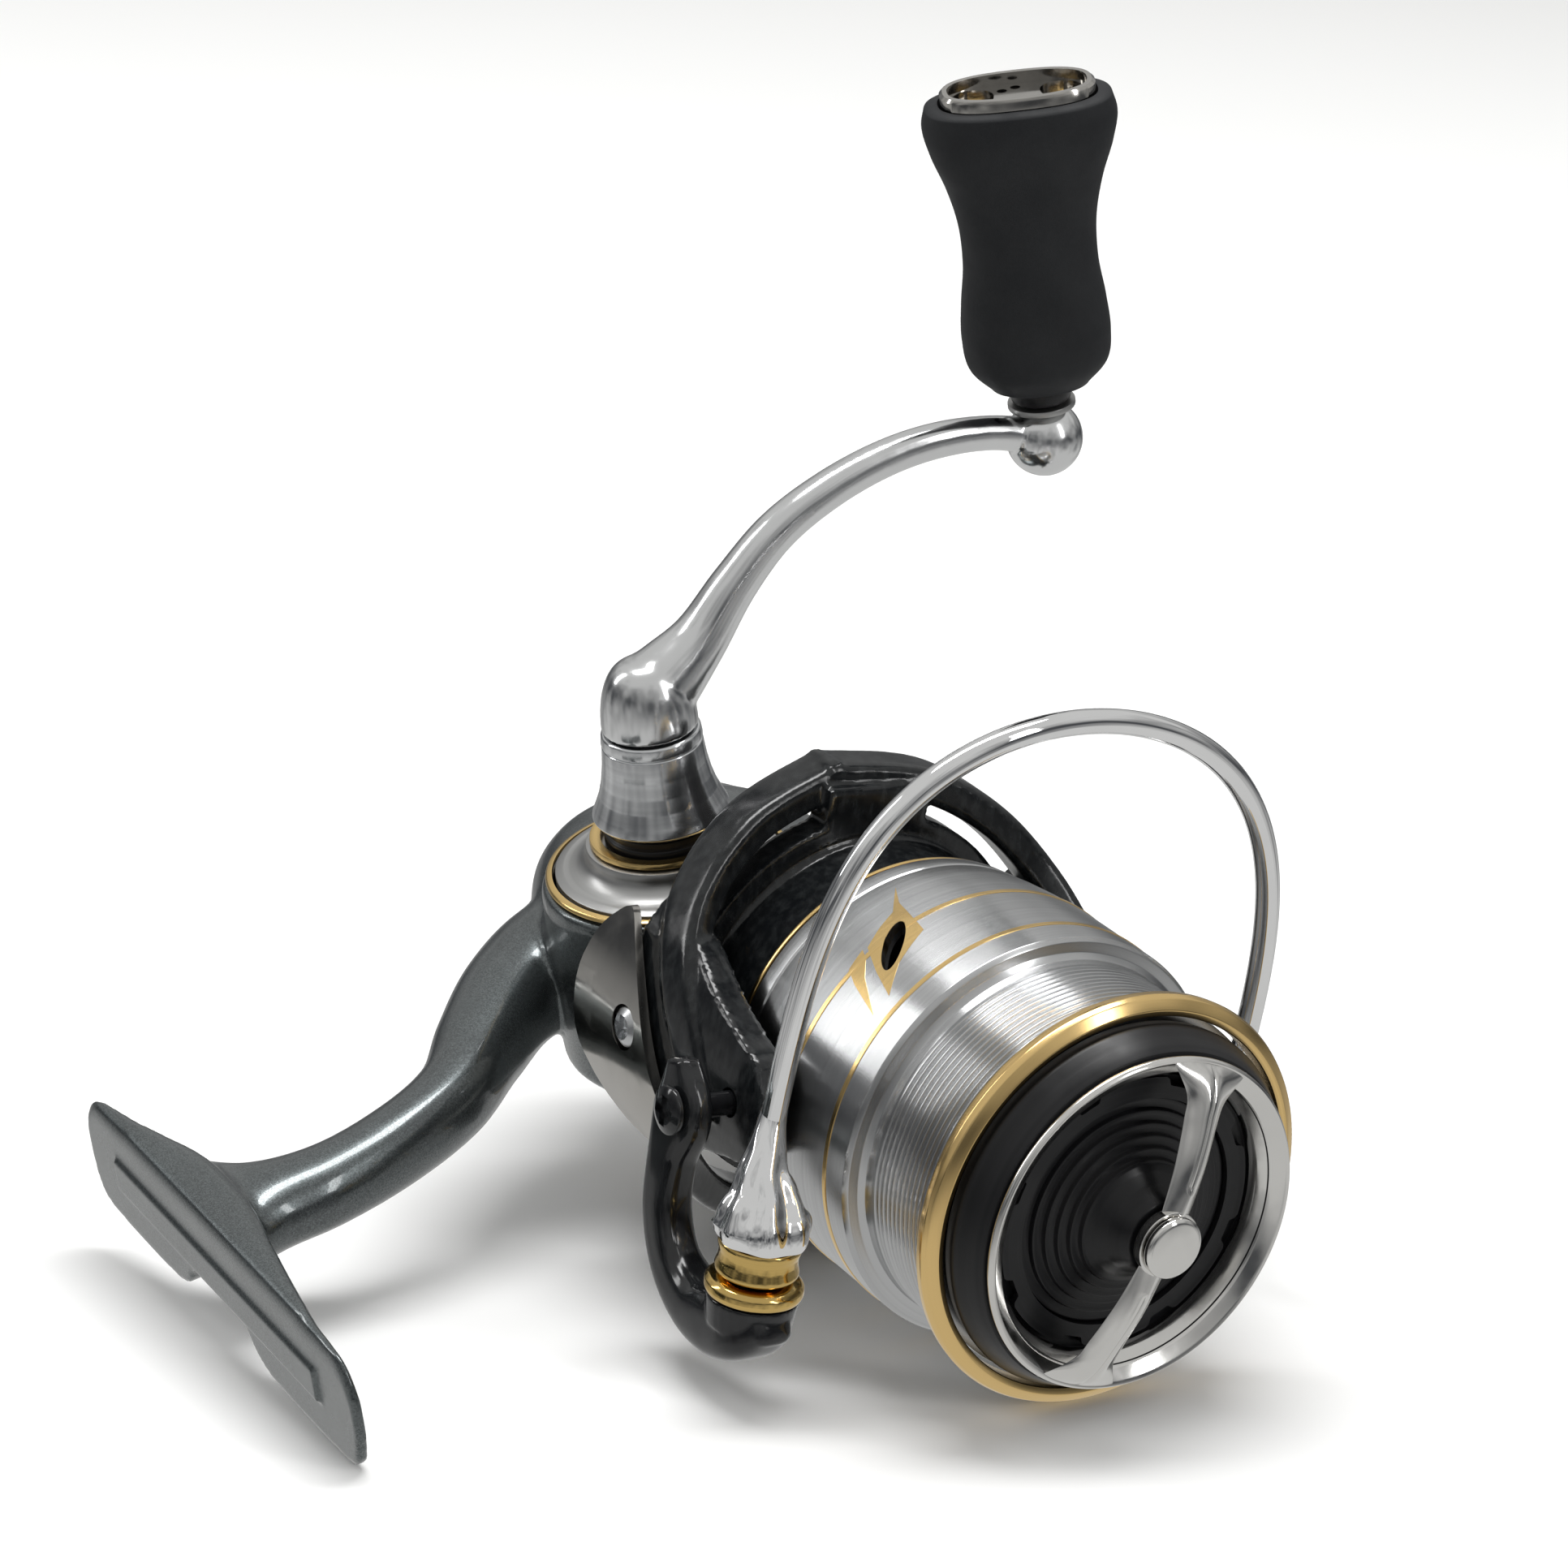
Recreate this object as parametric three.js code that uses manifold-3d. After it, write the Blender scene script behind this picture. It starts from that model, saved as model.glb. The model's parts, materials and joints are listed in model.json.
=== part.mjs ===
// Spinning fishing reel, size 2500, lying on its side with the handle up.
// Units are millimetres. The row frame has +Z up and its origin on the resting surface.
// Everything is drawn in the reel's own frame: x points forward along the spool's axis,
// y points away from the rod foot, z points to the handle side, and the origin is the centre
// of the spool's front lip. The outermost group turns that frame into the resting position.
import * as THREE from 'three';
import { mergeVertices } from 'three/addons/utils/BufferGeometryUtils.js';
import Module from 'manifold-3d';

const wasm = await Module();
wasm.setup();

// ---------------------------------------------------------------- driving dimensions
const DEG = Math.PI / 180;
const FINE = 28;                      // facets round the spool's rims
const WIDE = 22;                      // facets round the other large turned pieces
const MEDIUM = 16;                    // facets round washers and rings
const SMALL = 12;                     // facets round shafts and small rings
const TINY = 8;                       // facets round pins and screws
const GAP = 0.3;                      // gap between pieces that are fastened together
const REST_ROLL = 13.16;              // how far the foot side dips when the reel lies down, degrees
const REST_PITCH = 5.19;              // nose-down angle in the resting position, degrees
const REST_SHIFT = [43.91, 22.02, 22.57];      // moves the resting reel over the row origin

const ROTOR_ROLL = 16;                // rotor angle about the spool axis, degrees
const BRIDGE_ROLL = 58;               // angle of the drag knob's bridge from +y, degrees

// spool, all x values along the main axis
const LIP_R = 22.5;
const LIP_BACK = -1.9;
const SKIRT_R = 22.7;
const SKIRT_REAR_X = -39.7;
const SKIRT_REAR_R = 21.1;
const FLANGE_X = -14.6;               // front edge of the skirt, where the arbor starts
const ARBOR_R = 20.4;
const DRAG_POCKET_R = 14;
const SLOT_X = -26;                   // centre of the slots through the skirt
const SLOT_HALF = [3.6, 1.15];        // half length and half width of a slot
const SLOT_SLANT = 47;                // slot direction from the main axis, degrees
const SLOT_ROLL = 19.2;               // slot position round the spool from the top, degrees

// rotor
const BOWL_R = 19.2;
const BOWL_FRONT = -29;
const ROTOR_BACK = -53.9;
const WEB_FRONT = -50.2;
const ARM_R = 27;                     // outside of the arms
const ARCH_R = 25.4;
const COVER_SCREW_X = -50.5;
const BAIL_X = -31;                   // bail pivot position along the main axis
const BAIL_REACH = 48.3;              // pivot axis to the far point of the wire
const BAIL_TILT = 84.3;               // wire plane from the forward direction, degrees
const BAIL_HALF = 30;                 // half the distance between the wire's ends
const WIRE_R = 1.3;
const WIRE_START = [-18.7, 2.1];      // x and z of the wire's ends in the rotor frame
const WIRE_END = [-20.2, -5.3];
const ROLLER_X = -15.2;
const ROLLER_Y = -31.5;

// gearbox
const DRIVE_X = -69;
const DRIVE_Y = -10.4;
const GEAR_R = 12.6;
const GEAR_TEETH = 36;
const PINION_R = 3.2;
const PINION_TEETH = 7;
const WORM_Y = 7.8;
const RAIL_Y = 4.2;
const RAIL_Z = 4.7;
const WORM_GEAR_R = 4.5;
const SHAFT_R = 2;
const BOSS_R = 14.2;
const BOSS_TOP = 13;

// handle
const COLLAR_BOTTOM = 20.1;
const COLLAR_TOP = 30.5;
const KNOB_X = -65.3;
const KNOB_Y = 40.6;
const KNOB_BOTTOM = 56.6;
const KNOB_TOP = 90.5;
const KNOB_ROLL = 62;                 // direction of the knob's wide side from +x, degrees

// foot
const FOOT_FACE = -78;
const FOOT_REAR = -80;
const FOOT_FRONT = -16;
const FOOT_HALF = 6.9;

// ---------------------------------------------------------------- materials
const finish = (color, roughness, metalness) => () =>
  new THREE.MeshStandardMaterial({ color, roughness, metalness });

const gunmetal = finish(0x3a3f42, 0.35, 0.7);
const blackGloss = finish(0x101213, 0.2, 0.1);
const blackMatte = finish(0x1a1b1c, 0.7, 0);
const blackRubber = finish(0x17181a, 0.85, 0);
const machined = finish(0xc9ccce, 0.3, 1);
const satin = finish(0xb9bbbb, 0.45, 1);
const polished = finish(0xd4d6d7, 0.15, 1);
const smokeChrome = finish(0x7d7c78, 0.15, 1);
const gold = finish(0xc39a52, 0.3, 1);
const brassy = finish(0xb68d45, 0.35, 1);
const steel = finish(0xa8abad, 0.35, 1);
const carbon = finish(0x2a2c2e, 0.8, 0);

// ---------------------------------------------------------------- shape helpers
/** Merges coincident corners, so that the surface is closed. */
function weld(geometry) {
  const bare = geometry.clone();
  bare.deleteAttribute('normal');
  bare.deleteAttribute('uv');
  return mergeVertices(bare, 1e-4);
}

function toSolid(geometry) {
  const bare = weld(geometry);
  const vertProperties = new Float32Array(bare.attributes.position.array);
  const corners = bare.index.array;
  const kept = [];
  for (let i = 0; i < corners.length; i += 3) {
    const [a, b, c] = [corners[i], corners[i + 1], corners[i + 2]];
    if (a !== b && b !== c && c !== a) kept.push(a, b, c);
  }
  const triVerts = new Uint32Array(kept);
  return new wasm.Manifold(new wasm.Mesh({ numProp: 3, vertProperties, triVerts }));
}

function toGeometry(solid) {
  const mesh = solid.getMesh();
  const geometry = new THREE.BufferGeometry();
  geometry.setAttribute('position', new THREE.BufferAttribute(mesh.vertProperties, 3));
  geometry.setIndex(new THREE.BufferAttribute(mesh.triVerts, 1));
  geometry.computeVertexNormals();
  return geometry;
}

const join = (...shapes) => toGeometry(shapes.map(toSolid).reduce((sum, next) => sum.add(next)));
const cut = (base, ...tools) =>
  toGeometry(tools.map(toSolid).reduce((left, tool) => left.subtract(tool), toSolid(base)));
const common = (a, b) => toGeometry(toSolid(a).intersect(toSolid(b)));

/** Ring or disc around x from a closed outline of [x, radius] pairs. */
function turnedX(outline, segments = MEDIUM) {
  const points = outline.map(([x, r]) => new THREE.Vector2(r, x));
  return turned(points, segments).rotateZ(-Math.PI / 2);
}

/** Ring or disc around z from a closed outline of [z, radius] pairs. */
function turnedZ(outline, segments = MEDIUM) {
  const points = outline.map(([z, r]) => new THREE.Vector2(r, z));
  return turned(points, segments).rotateX(Math.PI / 2);
}

/** Lathe of an outline; the outline may run either way round. */
function turned(points, segments) {
  const area = points.reduce((sum, p, i) => {
    const q = points[(i + 1) % points.length];
    return sum + p.x * q.y - q.x * p.y;
  }, 0);
  const ordered = area > 0 ? points : [...points].reverse();
  const onAxis = ordered.findIndex((p) => p.x < 1e-6);
  if (onAxis < 0) return new THREE.LatheGeometry([...ordered, ordered[0].clone()], segments);
  // start at the axis point that follows the other one, so that the path stays off the axis
  const n = ordered.length;
  let start = onAxis;
  while (ordered[(start + 1) % n].x < 1e-6) start = (start + 1) % n;
  const path = ordered.map((_, i) => ordered[(start + i) % n]);
  return new THREE.LatheGeometry(path, segments);
}

const discX = (x0, x1, r, segments) => turnedX([[x0, 0], [x1, 0], [x1, r], [x0, r]], segments);
const ringX = (x0, x1, r0, r1, segments) =>
  turnedX([[x0, r0], [x1, r0], [x1, r1], [x0, r1]], segments);
const discZ = (z0, z1, r, segments) => turnedZ([[z0, 0], [z1, 0], [z1, r], [z0, r]], segments);
const ringZ = (z0, z1, r0, r1, segments) =>
  turnedZ([[z0, r0], [z1, r0], [z1, r1], [z0, r1]], segments);

function box(x0, x1, y0, y1, z0, z1) {
  const shape = new THREE.BoxGeometry(x1 - x0, y1 - y0, z1 - z0);
  return shape.translate((x0 + x1) / 2, (y0 + y1) / 2, (z0 + z1) / 2);
}

/** Prism along z from [x, y] corners. */
function plateZ(corners, z0, z1) {
  const shape = new THREE.Shape(corners.map(([x, y]) => new THREE.Vector2(x, y)));
  const solid = new THREE.ExtrudeGeometry(shape, { depth: z1 - z0, bevelEnabled: false });
  return solid.translate(0, 0, z0);
}

/** Prism along y from [x, z] corners. */
function plateY(corners, y0, y1) {
  const prism = plateZ(corners.map(([x, z]) => [x, -z]), y0, y1);
  return prism.rotateX(-Math.PI / 2);
}

/** Spur-gear outline as a prism along z, with an optional round bore. */
function toothedZ(teeth, root, tip, z0, z1, bore) {
  const shape = new THREE.Shape();
  for (let i = 0; i < teeth * 2; i += 1) {
    const radius = i % 2 ? root : tip;
    const angle = (i / (teeth * 2)) * Math.PI * 2;
    const corner = [radius * Math.cos(angle), radius * Math.sin(angle)];
    if (i === 0) shape.moveTo(...corner);
    else shape.lineTo(...corner);
  }
  if (bore) {
    const hole = new THREE.Path();
    hole.absarc(0, 0, bore, 0, Math.PI * 2, true);
    shape.holes.push(hole);
  }
  const solid = new THREE.ExtrudeGeometry(shape, {
    depth: z1 - z0, bevelEnabled: false, curveSegments: 9,
  });
  return solid.translate(0, 0, z0);
}

/**
 * Solid through stations {at, half: [side, up]}: a cylinder whose rings are moved along a smooth
 * curve. The section is a superellipse; up is the direction of the second half-size.
 */
function swept(stations, up, { sides = 16, power = 2, rows = stations.length - 1 } = {}) {
  const curve = new THREE.CatmullRomCurve3(
    stations.map((s) => new THREE.Vector3(...s.at)), false, 'centripetal');
  const upward = new THREE.Vector3(...up).normalize();
  const solid = new THREE.CylinderGeometry(1, 1, 1, sides, rows);
  const position = solid.attributes.position;
  const point = new THREE.Vector3();
  for (let i = 0; i < position.count; i += 1) {
    point.fromBufferAttribute(position, i);
    const along = THREE.MathUtils.clamp(0.5 - point.y, 0, 1);
    const place = along * (stations.length - 1);
    const first = Math.min(Math.floor(place + 1e-6), stations.length - 2);
    const blend = place - first;
    const side = THREE.MathUtils.lerp(stations[first].half[0], stations[first + 1].half[0], blend);
    const rise = THREE.MathUtils.lerp(stations[first].half[1], stations[first + 1].half[1], blend);
    const tangent = curve.getTangent(along);
    const across = new THREE.Vector3().crossVectors(tangent, upward).normalize();
    const above = new THREE.Vector3().crossVectors(across, tangent);
    const soften = (v) => Math.sign(v) * Math.abs(v) ** (2 / power);
    const centre = curve.getPoint(along);
    centre.addScaledVector(across, -side * soften(point.x));
    centre.addScaledVector(above, rise * soften(point.z));
    position.setXYZ(i, centre.x, centre.y, centre.z);
  }
  return solid;
}

/** Round bar of changing radius through [x, y, z, radius] points. */
function bar(points, up, options) {
  return swept(points.map(([x, y, z, r]) => ({ at: [x, y, z], half: [r, r] })), up, options);
}

/** Ball bearing: two races and a recessed shield, as one piece around x. */
function bearingX(x0, x1, inner, outer) {
  const step = (x1 - x0) / 8;
  const lip = (outer - inner) / 4;
  return turnedX([
    [x0, inner], [x1, inner], [x1, inner + lip], [x1 - step, inner + lip],
    [x1 - step, outer - lip], [x1, outer - lip], [x1, outer], [x0, outer],
  ], SMALL);
}

const bearingZ = (z0, z1, inner, outer) =>
  bearingX(z0, z1, inner, outer).rotateY(-Math.PI / 2);

/** Cross-recessed screw head and shank along +y, seated at y = 0 with the head above. */
function screw(headR, headH, shankR, shankL) {
  const body = turnedZ([
    [-shankL, 0], [-shankL, shankR], [0, shankR], [0, headR],
    [headH * 0.6, headR], [headH, headR * 0.75], [headH, 0],
  ], TINY);
  const slot = headR * 0.22;
  const depth = headH * 0.5;
  const crossA = box(-headR * 0.6, headR * 0.6, -slot, slot, headH - depth, headH + 1);
  const crossB = box(-slot, slot, -headR * 0.6, headR * 0.6, headH - depth, headH + 1);
  return cut(body, crossA, crossB).rotateX(-Math.PI / 2);
}

// ---------------------------------------------------------------- scene helpers
function piece(parent, name, geometry, material) {
  const mesh = new THREE.Mesh(weld(geometry), material());
  mesh.name = name;
  parent.add(mesh);
  return mesh;
}

function subgroup(parent, position = [0, 0, 0], rotation = [0, 0, 0]) {
  const group = new THREE.Group();
  group.position.set(...position);
  group.rotation.set(...rotation);
  parent.add(group);
  return group;
}

// ---------------------------------------------------------------- body, stem and foot
function bodyBlob() {
  const sections = [
    // x, centre y, half y, half z
    [-98.2, 0, 3.5, 3], [-96.6, -0.5, 8, 6.2], [-92.5, -0.8, 12.4, 9.6], [-86, -2.4, 16.4, 11.8],
    [-77, -3.8, 18.4, 12.8], [-68, -3.6, 18.6, 13], [-60, -2, 17.4, 13], [-54.5, -0.5, 15.5, 13],
  ];
  const stations = sections.map(([x, y, hy, hz]) => ({ at: [x, y, 0], half: [hy, hz] }));
  return swept(stations, [0, 0, 1], { sides: 20, power: 2.5 });
}

function stem() {
  return swept([
    { at: [-80, -13, 0], half: [8.5, 7] },
    { at: [-79.5, -20, 0], half: [7.6, 6.6] },
    { at: [-76, -28, 0], half: [6, 6] },
    { at: [-69, -36, 0], half: [5, 5.4] },
    { at: [-61.6, -43.5, 0], half: [4, 4.7] },
    { at: [-57.2, -53, 0], half: [3.9, 4.4] },
    { at: [-55.4, -62, 0], half: [4.5, 4.2] },
    { at: [-56, -69, 0], half: [6.2, 4.2] },
    { at: [-57.2, -75, 0], half: [11.5, 4.4] },
  ], [0, 0, 1], { sides: 16, power: 2.2, rows: 16 });
}

/** Rod foot: plan outline crossed with a tapering side profile, with the raised centre strip. */
function foot() {
  const half = FOOT_HALF;
  const middle = (FOOT_REAR + FOOT_FRONT) / 2;
  const plan = [
    [FOOT_REAR, -half * 0.55], [FOOT_REAR + 1.2, -half * 0.85], [FOOT_REAR + 4, -half],
    [middle - 12, -half], [middle - 8.5, -half + 1], [middle - 6.5, -half + 4.2],
    [middle + 5.5, -half + 4.2], [middle + 8, -half + 1.2], [middle + 11.5, -half],
    [FOOT_FRONT - 4, -half], [FOOT_FRONT - 1.2, -half * 0.8], [FOOT_FRONT, -half * 0.4],
    [FOOT_FRONT, half * 0.4], [FOOT_FRONT - 1.2, half * 0.8], [FOOT_FRONT - 4, half],
    [FOOT_REAR + 4, half], [FOOT_REAR + 1.2, half * 0.85], [FOOT_REAR, half * 0.55],
  ];
  const side = [
    [FOOT_REAR, FOOT_FACE], [FOOT_FRONT, FOOT_FACE], [FOOT_FRONT, FOOT_FACE + 1.2],
    [FOOT_FRONT - 12, FOOT_FACE + 2.4], [FOOT_FRONT - 24, FOOT_FACE + 4],
    [FOOT_FRONT - 32, FOOT_FACE + 5.4], [FOOT_REAR + 20, FOOT_FACE + 5.4],
    [FOOT_REAR + 11, FOOT_FACE + 3.2], [FOOT_REAR, FOOT_FACE + 1.2],
  ];
  const slab = common(plateY(plan, FOOT_FACE - 1, FOOT_FACE + 8), plateZ(side, -10, 10));
  const strip = box(FOOT_REAR + 8, FOOT_FRONT - 8, FOOT_FACE - 0.5, FOOT_FACE + 0.5, -1.85, 1.85);
  return join(slab, strip);
}

function bodyShell() {
  const atDrive = (shape) => shape.translate(DRIVE_X, DRIVE_Y, 0);
  const outside = join(
    cut(bodyBlob(), box(-54.4, -40, -40, 40, -40, 40)), stem(), foot(),
    atDrive(turnedZ([[-10.2, 0], [-10.2, 12.4], [-8.4, BOSS_R], [2, BOSS_R + 0.3],
      [8, BOSS_R + 0.2], [BOSS_TOP, BOSS_R], [BOSS_TOP, 0]], MEDIUM)),
    atDrive(discZ(-14.5, -6, 9, MEDIUM)),
    discX(-56, -51.2, 11, MEDIUM),
  );
  const pocketFrame = plateZ([[-71.5, -63.5], [-64, -69.5], [-71.8, -71.8]], 2.6, 9);
  return cut(
    outside,
    atDrive(discZ(-8.8, BOSS_TOP + 1, GEAR_R + 0.3, MEDIUM)),
    atDrive(discZ(-13, -8, 6.6, MEDIUM)),
    atDrive(discZ(-15, -12, 4.4, SMALL)),
    box(-90.3, -57, -7, 10.4, -6.3, 6.3),
    box(-70, -57, 0, 12.7, -5.4, 5.4),
    discX(-60, -54, 6.3, SMALL),
    discX(-54.7, -50, 9.3, MEDIUM),
    discX(-110, -89, 5.4, SMALL),
    pocketFrame,
  );
}

/** Pieces screwed or pressed into the body shell. */
function fixedPieces(reel) {
  piece(reel, 'body_shell', bodyShell(), gunmetal);

  const drive = subgroup(reel, [DRIVE_X, DRIVE_Y, 0]);
  piece(drive, 'drive_cover', turnedZ([
    [9.7, 7.3], [9.7, 12.5], [14, 12.5], [14.35, 11.4], [15, 9.9], [16.1, 8.95], [17, 8.6],
    [17, 5.3], [13.4, 5.3], [13.4, 7.3],
  ], WIDE), satin);
  piece(drive, 'drive_cover_ring', turnedZ([
    [BOSS_TOP + 0.3, 12.85], [BOSS_TOP + 0.3, 13.9], [BOSS_TOP + 0.9, 13.6], [BOSS_TOP + 1.2, 12.85],
  ], WIDE), gold);
  piece(drive, 'drive_trim_ring', ringZ(17.3, 18.1, 7, 8.05, MEDIUM), gold);
  piece(drive, 'drive_seal', turnedZ([[17.3, 4.4], [17.3, 6.6], [19.4, 6.2], [19.4, 4.4]], MEDIUM),
    blackRubber);
  piece(drive, 'drive_bearing_cover_side', bearingZ(9.9, 13.1, 4.3, 7), steel);
  piece(drive, 'drive_bearing_far_side', bearingZ(-12.7, -9.1, 4.3, 6.3), steel);
  piece(drive, 'handle_port_cap', turnedZ([
    [-14.8, 0], [-14.8, 6.4], [-16.6, 6.4], [-17.4, 5.6], [-17.4, 3.4], [-16.6, 3.2], [-16.6, 0],
  ], MEDIUM), blackMatte);
  piece(drive, 'handle_port_ring', ringZ(-15.6, -14.8, 6.7, 7.8, MEDIUM), gold);

  piece(reel, 'pinion_bearing', bearingX(-57.6, -54.9, 3.2, 6), steel);
  piece(reel, 'clutch_outer', ringX(-54.5, -51, 5.7, 9, MEDIUM), steel);
  piece(reel, 'clutch_retainer', turnedX([[-50.9, 6], [-50.9, 10.8], [-50.1, 10.8], [-50.1, 6]],
    MEDIUM), blackMatte);
  for (const [name, z] of [['slider_rail_upper', RAIL_Z], ['slider_rail_lower', -RAIL_Z]]) {
    piece(reel, name, discX(-90, -61.2, 1.2, TINY).translate(0, RAIL_Y, z), steel);
  }
  piece(reel, 'rear_cover', turnedX([
    [-93, 0], [-93, 5.1], [-97.4, 5.1], [-98.6, 4.4], [-99.2, 2.6], [-99.4, 0],
  ], SMALL), blackMatte);
}

// ---------------------------------------------------------------- handle
function armPath() {
  return [
    [-69, -11.4, 31, 4.4], [-69, -10.2, 34, 4.5], [-68.8, -7.4, 36, 4], [-68.5, -3.6, 38.9, 3.1],
    [-68.1, 1.4, 44.2, 2.5], [-67.7, 7, 48.8, 2.25], [-67.2, 13.9, 51.8, 2.1],
    [-66.7, 21.5, 53.4, 2], [-66.2, 28, 53.5, 1.95], [-65.7, 34, 52.5, 1.9],
    [-65.3, 38.6, 50.9, 2],
  ];
}

function handleArm() {
  const dome = turnedZ([
    [COLLAR_TOP + GAP, 0], [COLLAR_TOP + GAP, 5.3], [32.6, 5.35], [34.8, 4.9], [37, 3.6],
    [38.4, 1.6], [38.8, 0],
  ], SMALL).translate(DRIVE_X, DRIVE_Y, 0);
  const ball = new THREE.SphereGeometry(4.3, 14, 9).translate(KNOB_X, KNOB_Y, 50);
  const seat = discZ(49, 53.6, 3.4, SMALL).translate(KNOB_X, KNOB_Y, 0);
  const whole = join(dome, bar(armPath(), [1, 0, 0], { sides: 10, rows: 16 }), ball, seat);
  return cut(
    whole,
    discZ(53.6, 60, 6, TINY).translate(KNOB_X, KNOB_Y, 0),
    discZ(20, COLLAR_TOP + GAP, 9, TINY).translate(DRIVE_X, DRIVE_Y, 0),
  );
}

function handlePieces(handle) {
  const teeth = toothedZ(GEAR_TEETH, 10.9, GEAR_R, -4.6, -3.5, 10.2);
  const blank = turnedZ([
    [-8.9, 3.2], [-8.9, 5.6], [-7.8, 5.6], [-7.8, GEAR_R - 0.4], [-4.4, GEAR_R - 0.4],
    [-4.4, 9.8], [-5.6, 9.4], [-5.6, 5.2], [9.6, 5.2], [9.6, 4], [16.6, 4], [16.6, 3.2],
  ], MEDIUM);
  const tail = ringZ(-12.9, -8.6, 3.2, 4, MEDIUM);
  piece(handle, 'drive_gear', join(blank, teeth, tail), steel);
  piece(handle, 'handle_shaft', turnedZ([
    [-12, 0], [-12, 2.9], [17.2, 2.9], [17.2, 3.6], [19.8, 3.6], [19.8, 2.9], [30.4, 2.9],
    [30.4, 0],
  ], SMALL), steel);
  piece(handle, 'handle_collar', turnedZ([
    [COLLAR_BOTTOM, 3.2], [COLLAR_BOTTOM, 7.3], [20.6, 7.6], [22, 6.9], [24, 6.2], [26.5, 5.75],
    [29, 5.5], [29.2, 5.65], [COLLAR_TOP, 5.5], [COLLAR_TOP, 3.2],
  ], MEDIUM), machined);
}

function knobHardware(handle) {
  const knob = subgroup(handle, [KNOB_X - DRIVE_X, KNOB_Y - DRIVE_Y, 0]);
  piece(knob, 'knob_washer', ringZ(53.9, 54.6, 2.3, 3.7, SMALL), satin);
  piece(knob, 'knob_post', turnedZ([
    [53.9, 0], [53.9, 2], [54.9, 2], [54.9, 3.2], [59, 3.2], [59, 2], [81, 2], [81, 0],
  ], SMALL), blackMatte);
}

/** Oval section of the knob at a height: [height, half width, half depth]. */
const KNOB_SECTIONS = [
  [KNOB_BOTTOM, 4.6, 4.3], [57.6, 6.4, 5.6], [59.4, 7.7, 6.5], [62.5, 8.15, 6.8],
  [66.5, 7.9, 6.6], [71, 7.35, 6.1], [76, 7.5, 5.8], [80.5, 8.5, 5.9], [84.5, 9.9, 6.3],
  [87.6, 10.5, 6.5], [89.8, 10.2, 6.3], [KNOB_TOP, 9.5, 5.8],
];

function knobPieces(knob) {
  const stations = KNOB_SECTIONS.map(([z, a, b]) => ({ at: [0, 0, z], half: [a, b] }));
  const grip = swept(stations, [0, 1, 0], { sides: 22, power: 2.3 });
  const oval = (a, b, z0, z1) => swept([
    { at: [0, 0, z0], half: [a, b] }, { at: [0, 0, z1], half: [a, b] },
  ], [0, 1, 0], { sides: 20, power: 2.2 });
  piece(knob, 'knob_grip', cut(
    grip, discZ(50, 95, 3.3, SMALL), discZ(50, 60.8, 3.9, SMALL), oval(8.5, 4.9, 84.6, 95),
    discZ(79.4, 90, 3.9, SMALL),
  ), blackRubber);
  piece(knob, 'knob_bearing_inner', bearingZ(59.4, 60.6, 2.1, 3.5), steel);
  piece(knob, 'knob_bearing_outer', bearingZ(79.6, 80.8, 2.1, 3.5), steel);
  const frame = cut(oval(8.1, 4.5, 84.9, 91.1), oval(7, 3.5, 85.9, 95));
  const rib = (x) => box(x - 0.7, x + 0.7, -4.2, 4.2, 85.2, 90.1);
  const spine = box(-7.6, 7.6, -0.7, 0.7, 85.2, 89.7);
  piece(knob, 'knob_end_cap', common(join(frame, rib(-3.4), rib(3.4), spine),
    oval(8.1, 4.5, 80, 95)), smokeChrome);
}

// ---------------------------------------------------------------- rotor
/** Half an arch on the handle side at rest, from the far arm to its peak: x, y, z, half sizes. */
const PLAIN_HALF = [
  [-36, 25.1, 4.5, 2.6, 1.7], [-42.5, 24.5, 7.4, 2.8, 1.8], [-47.6, 21.6, 13.4, 3, 1.9],
  [-51, 15.2, 20.4, 3.2, 2], [-53.4, 7, 24.4, 3.2, 2.1],
];

/** The other half of the same arch, which runs down the bail arm to the pivot. */
const BAIL_HALF_ARCH = [
  [-34.5, -26.2, -4.5, 2.3, 1.4], [-40, -25.9, 1.6, 2.4, 1.5], [-45.5, -24.9, 7.6, 2.5, 1.6],
  [-50.6, -21.6, 14.2, 2.7, 1.8], [-53.6, -14.6, 21, 2.8, 1.9],
];

/** Arch that joins the two arms on one side of the spool, side = 1 or -1. */
function rotorArch(side) {
  const station = ([x, y, z, a, b]) => ({ at: [x, y, z], half: [a, b] });
  const mirrored = (signY) => PLAIN_HALF.map(([x, y, z, a, b]) => [x, signY * y, side * z, a, b]);
  const near = side > 0 ? BAIL_HALF_ARCH : mirrored(-1);
  const peak = side > 0 ? [-54.6, -4.6, 25.5, 2.8, 2] : [-54, 0, -ARCH_R, 3.2, 2.2];
  const stations = [...near, peak, ...mirrored(1).reverse()].map(station);
  const solid = new THREE.CylinderGeometry(1, 1, 1, 10, stations.length - 1);
  return bandThrough(solid, stations);
}

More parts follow.
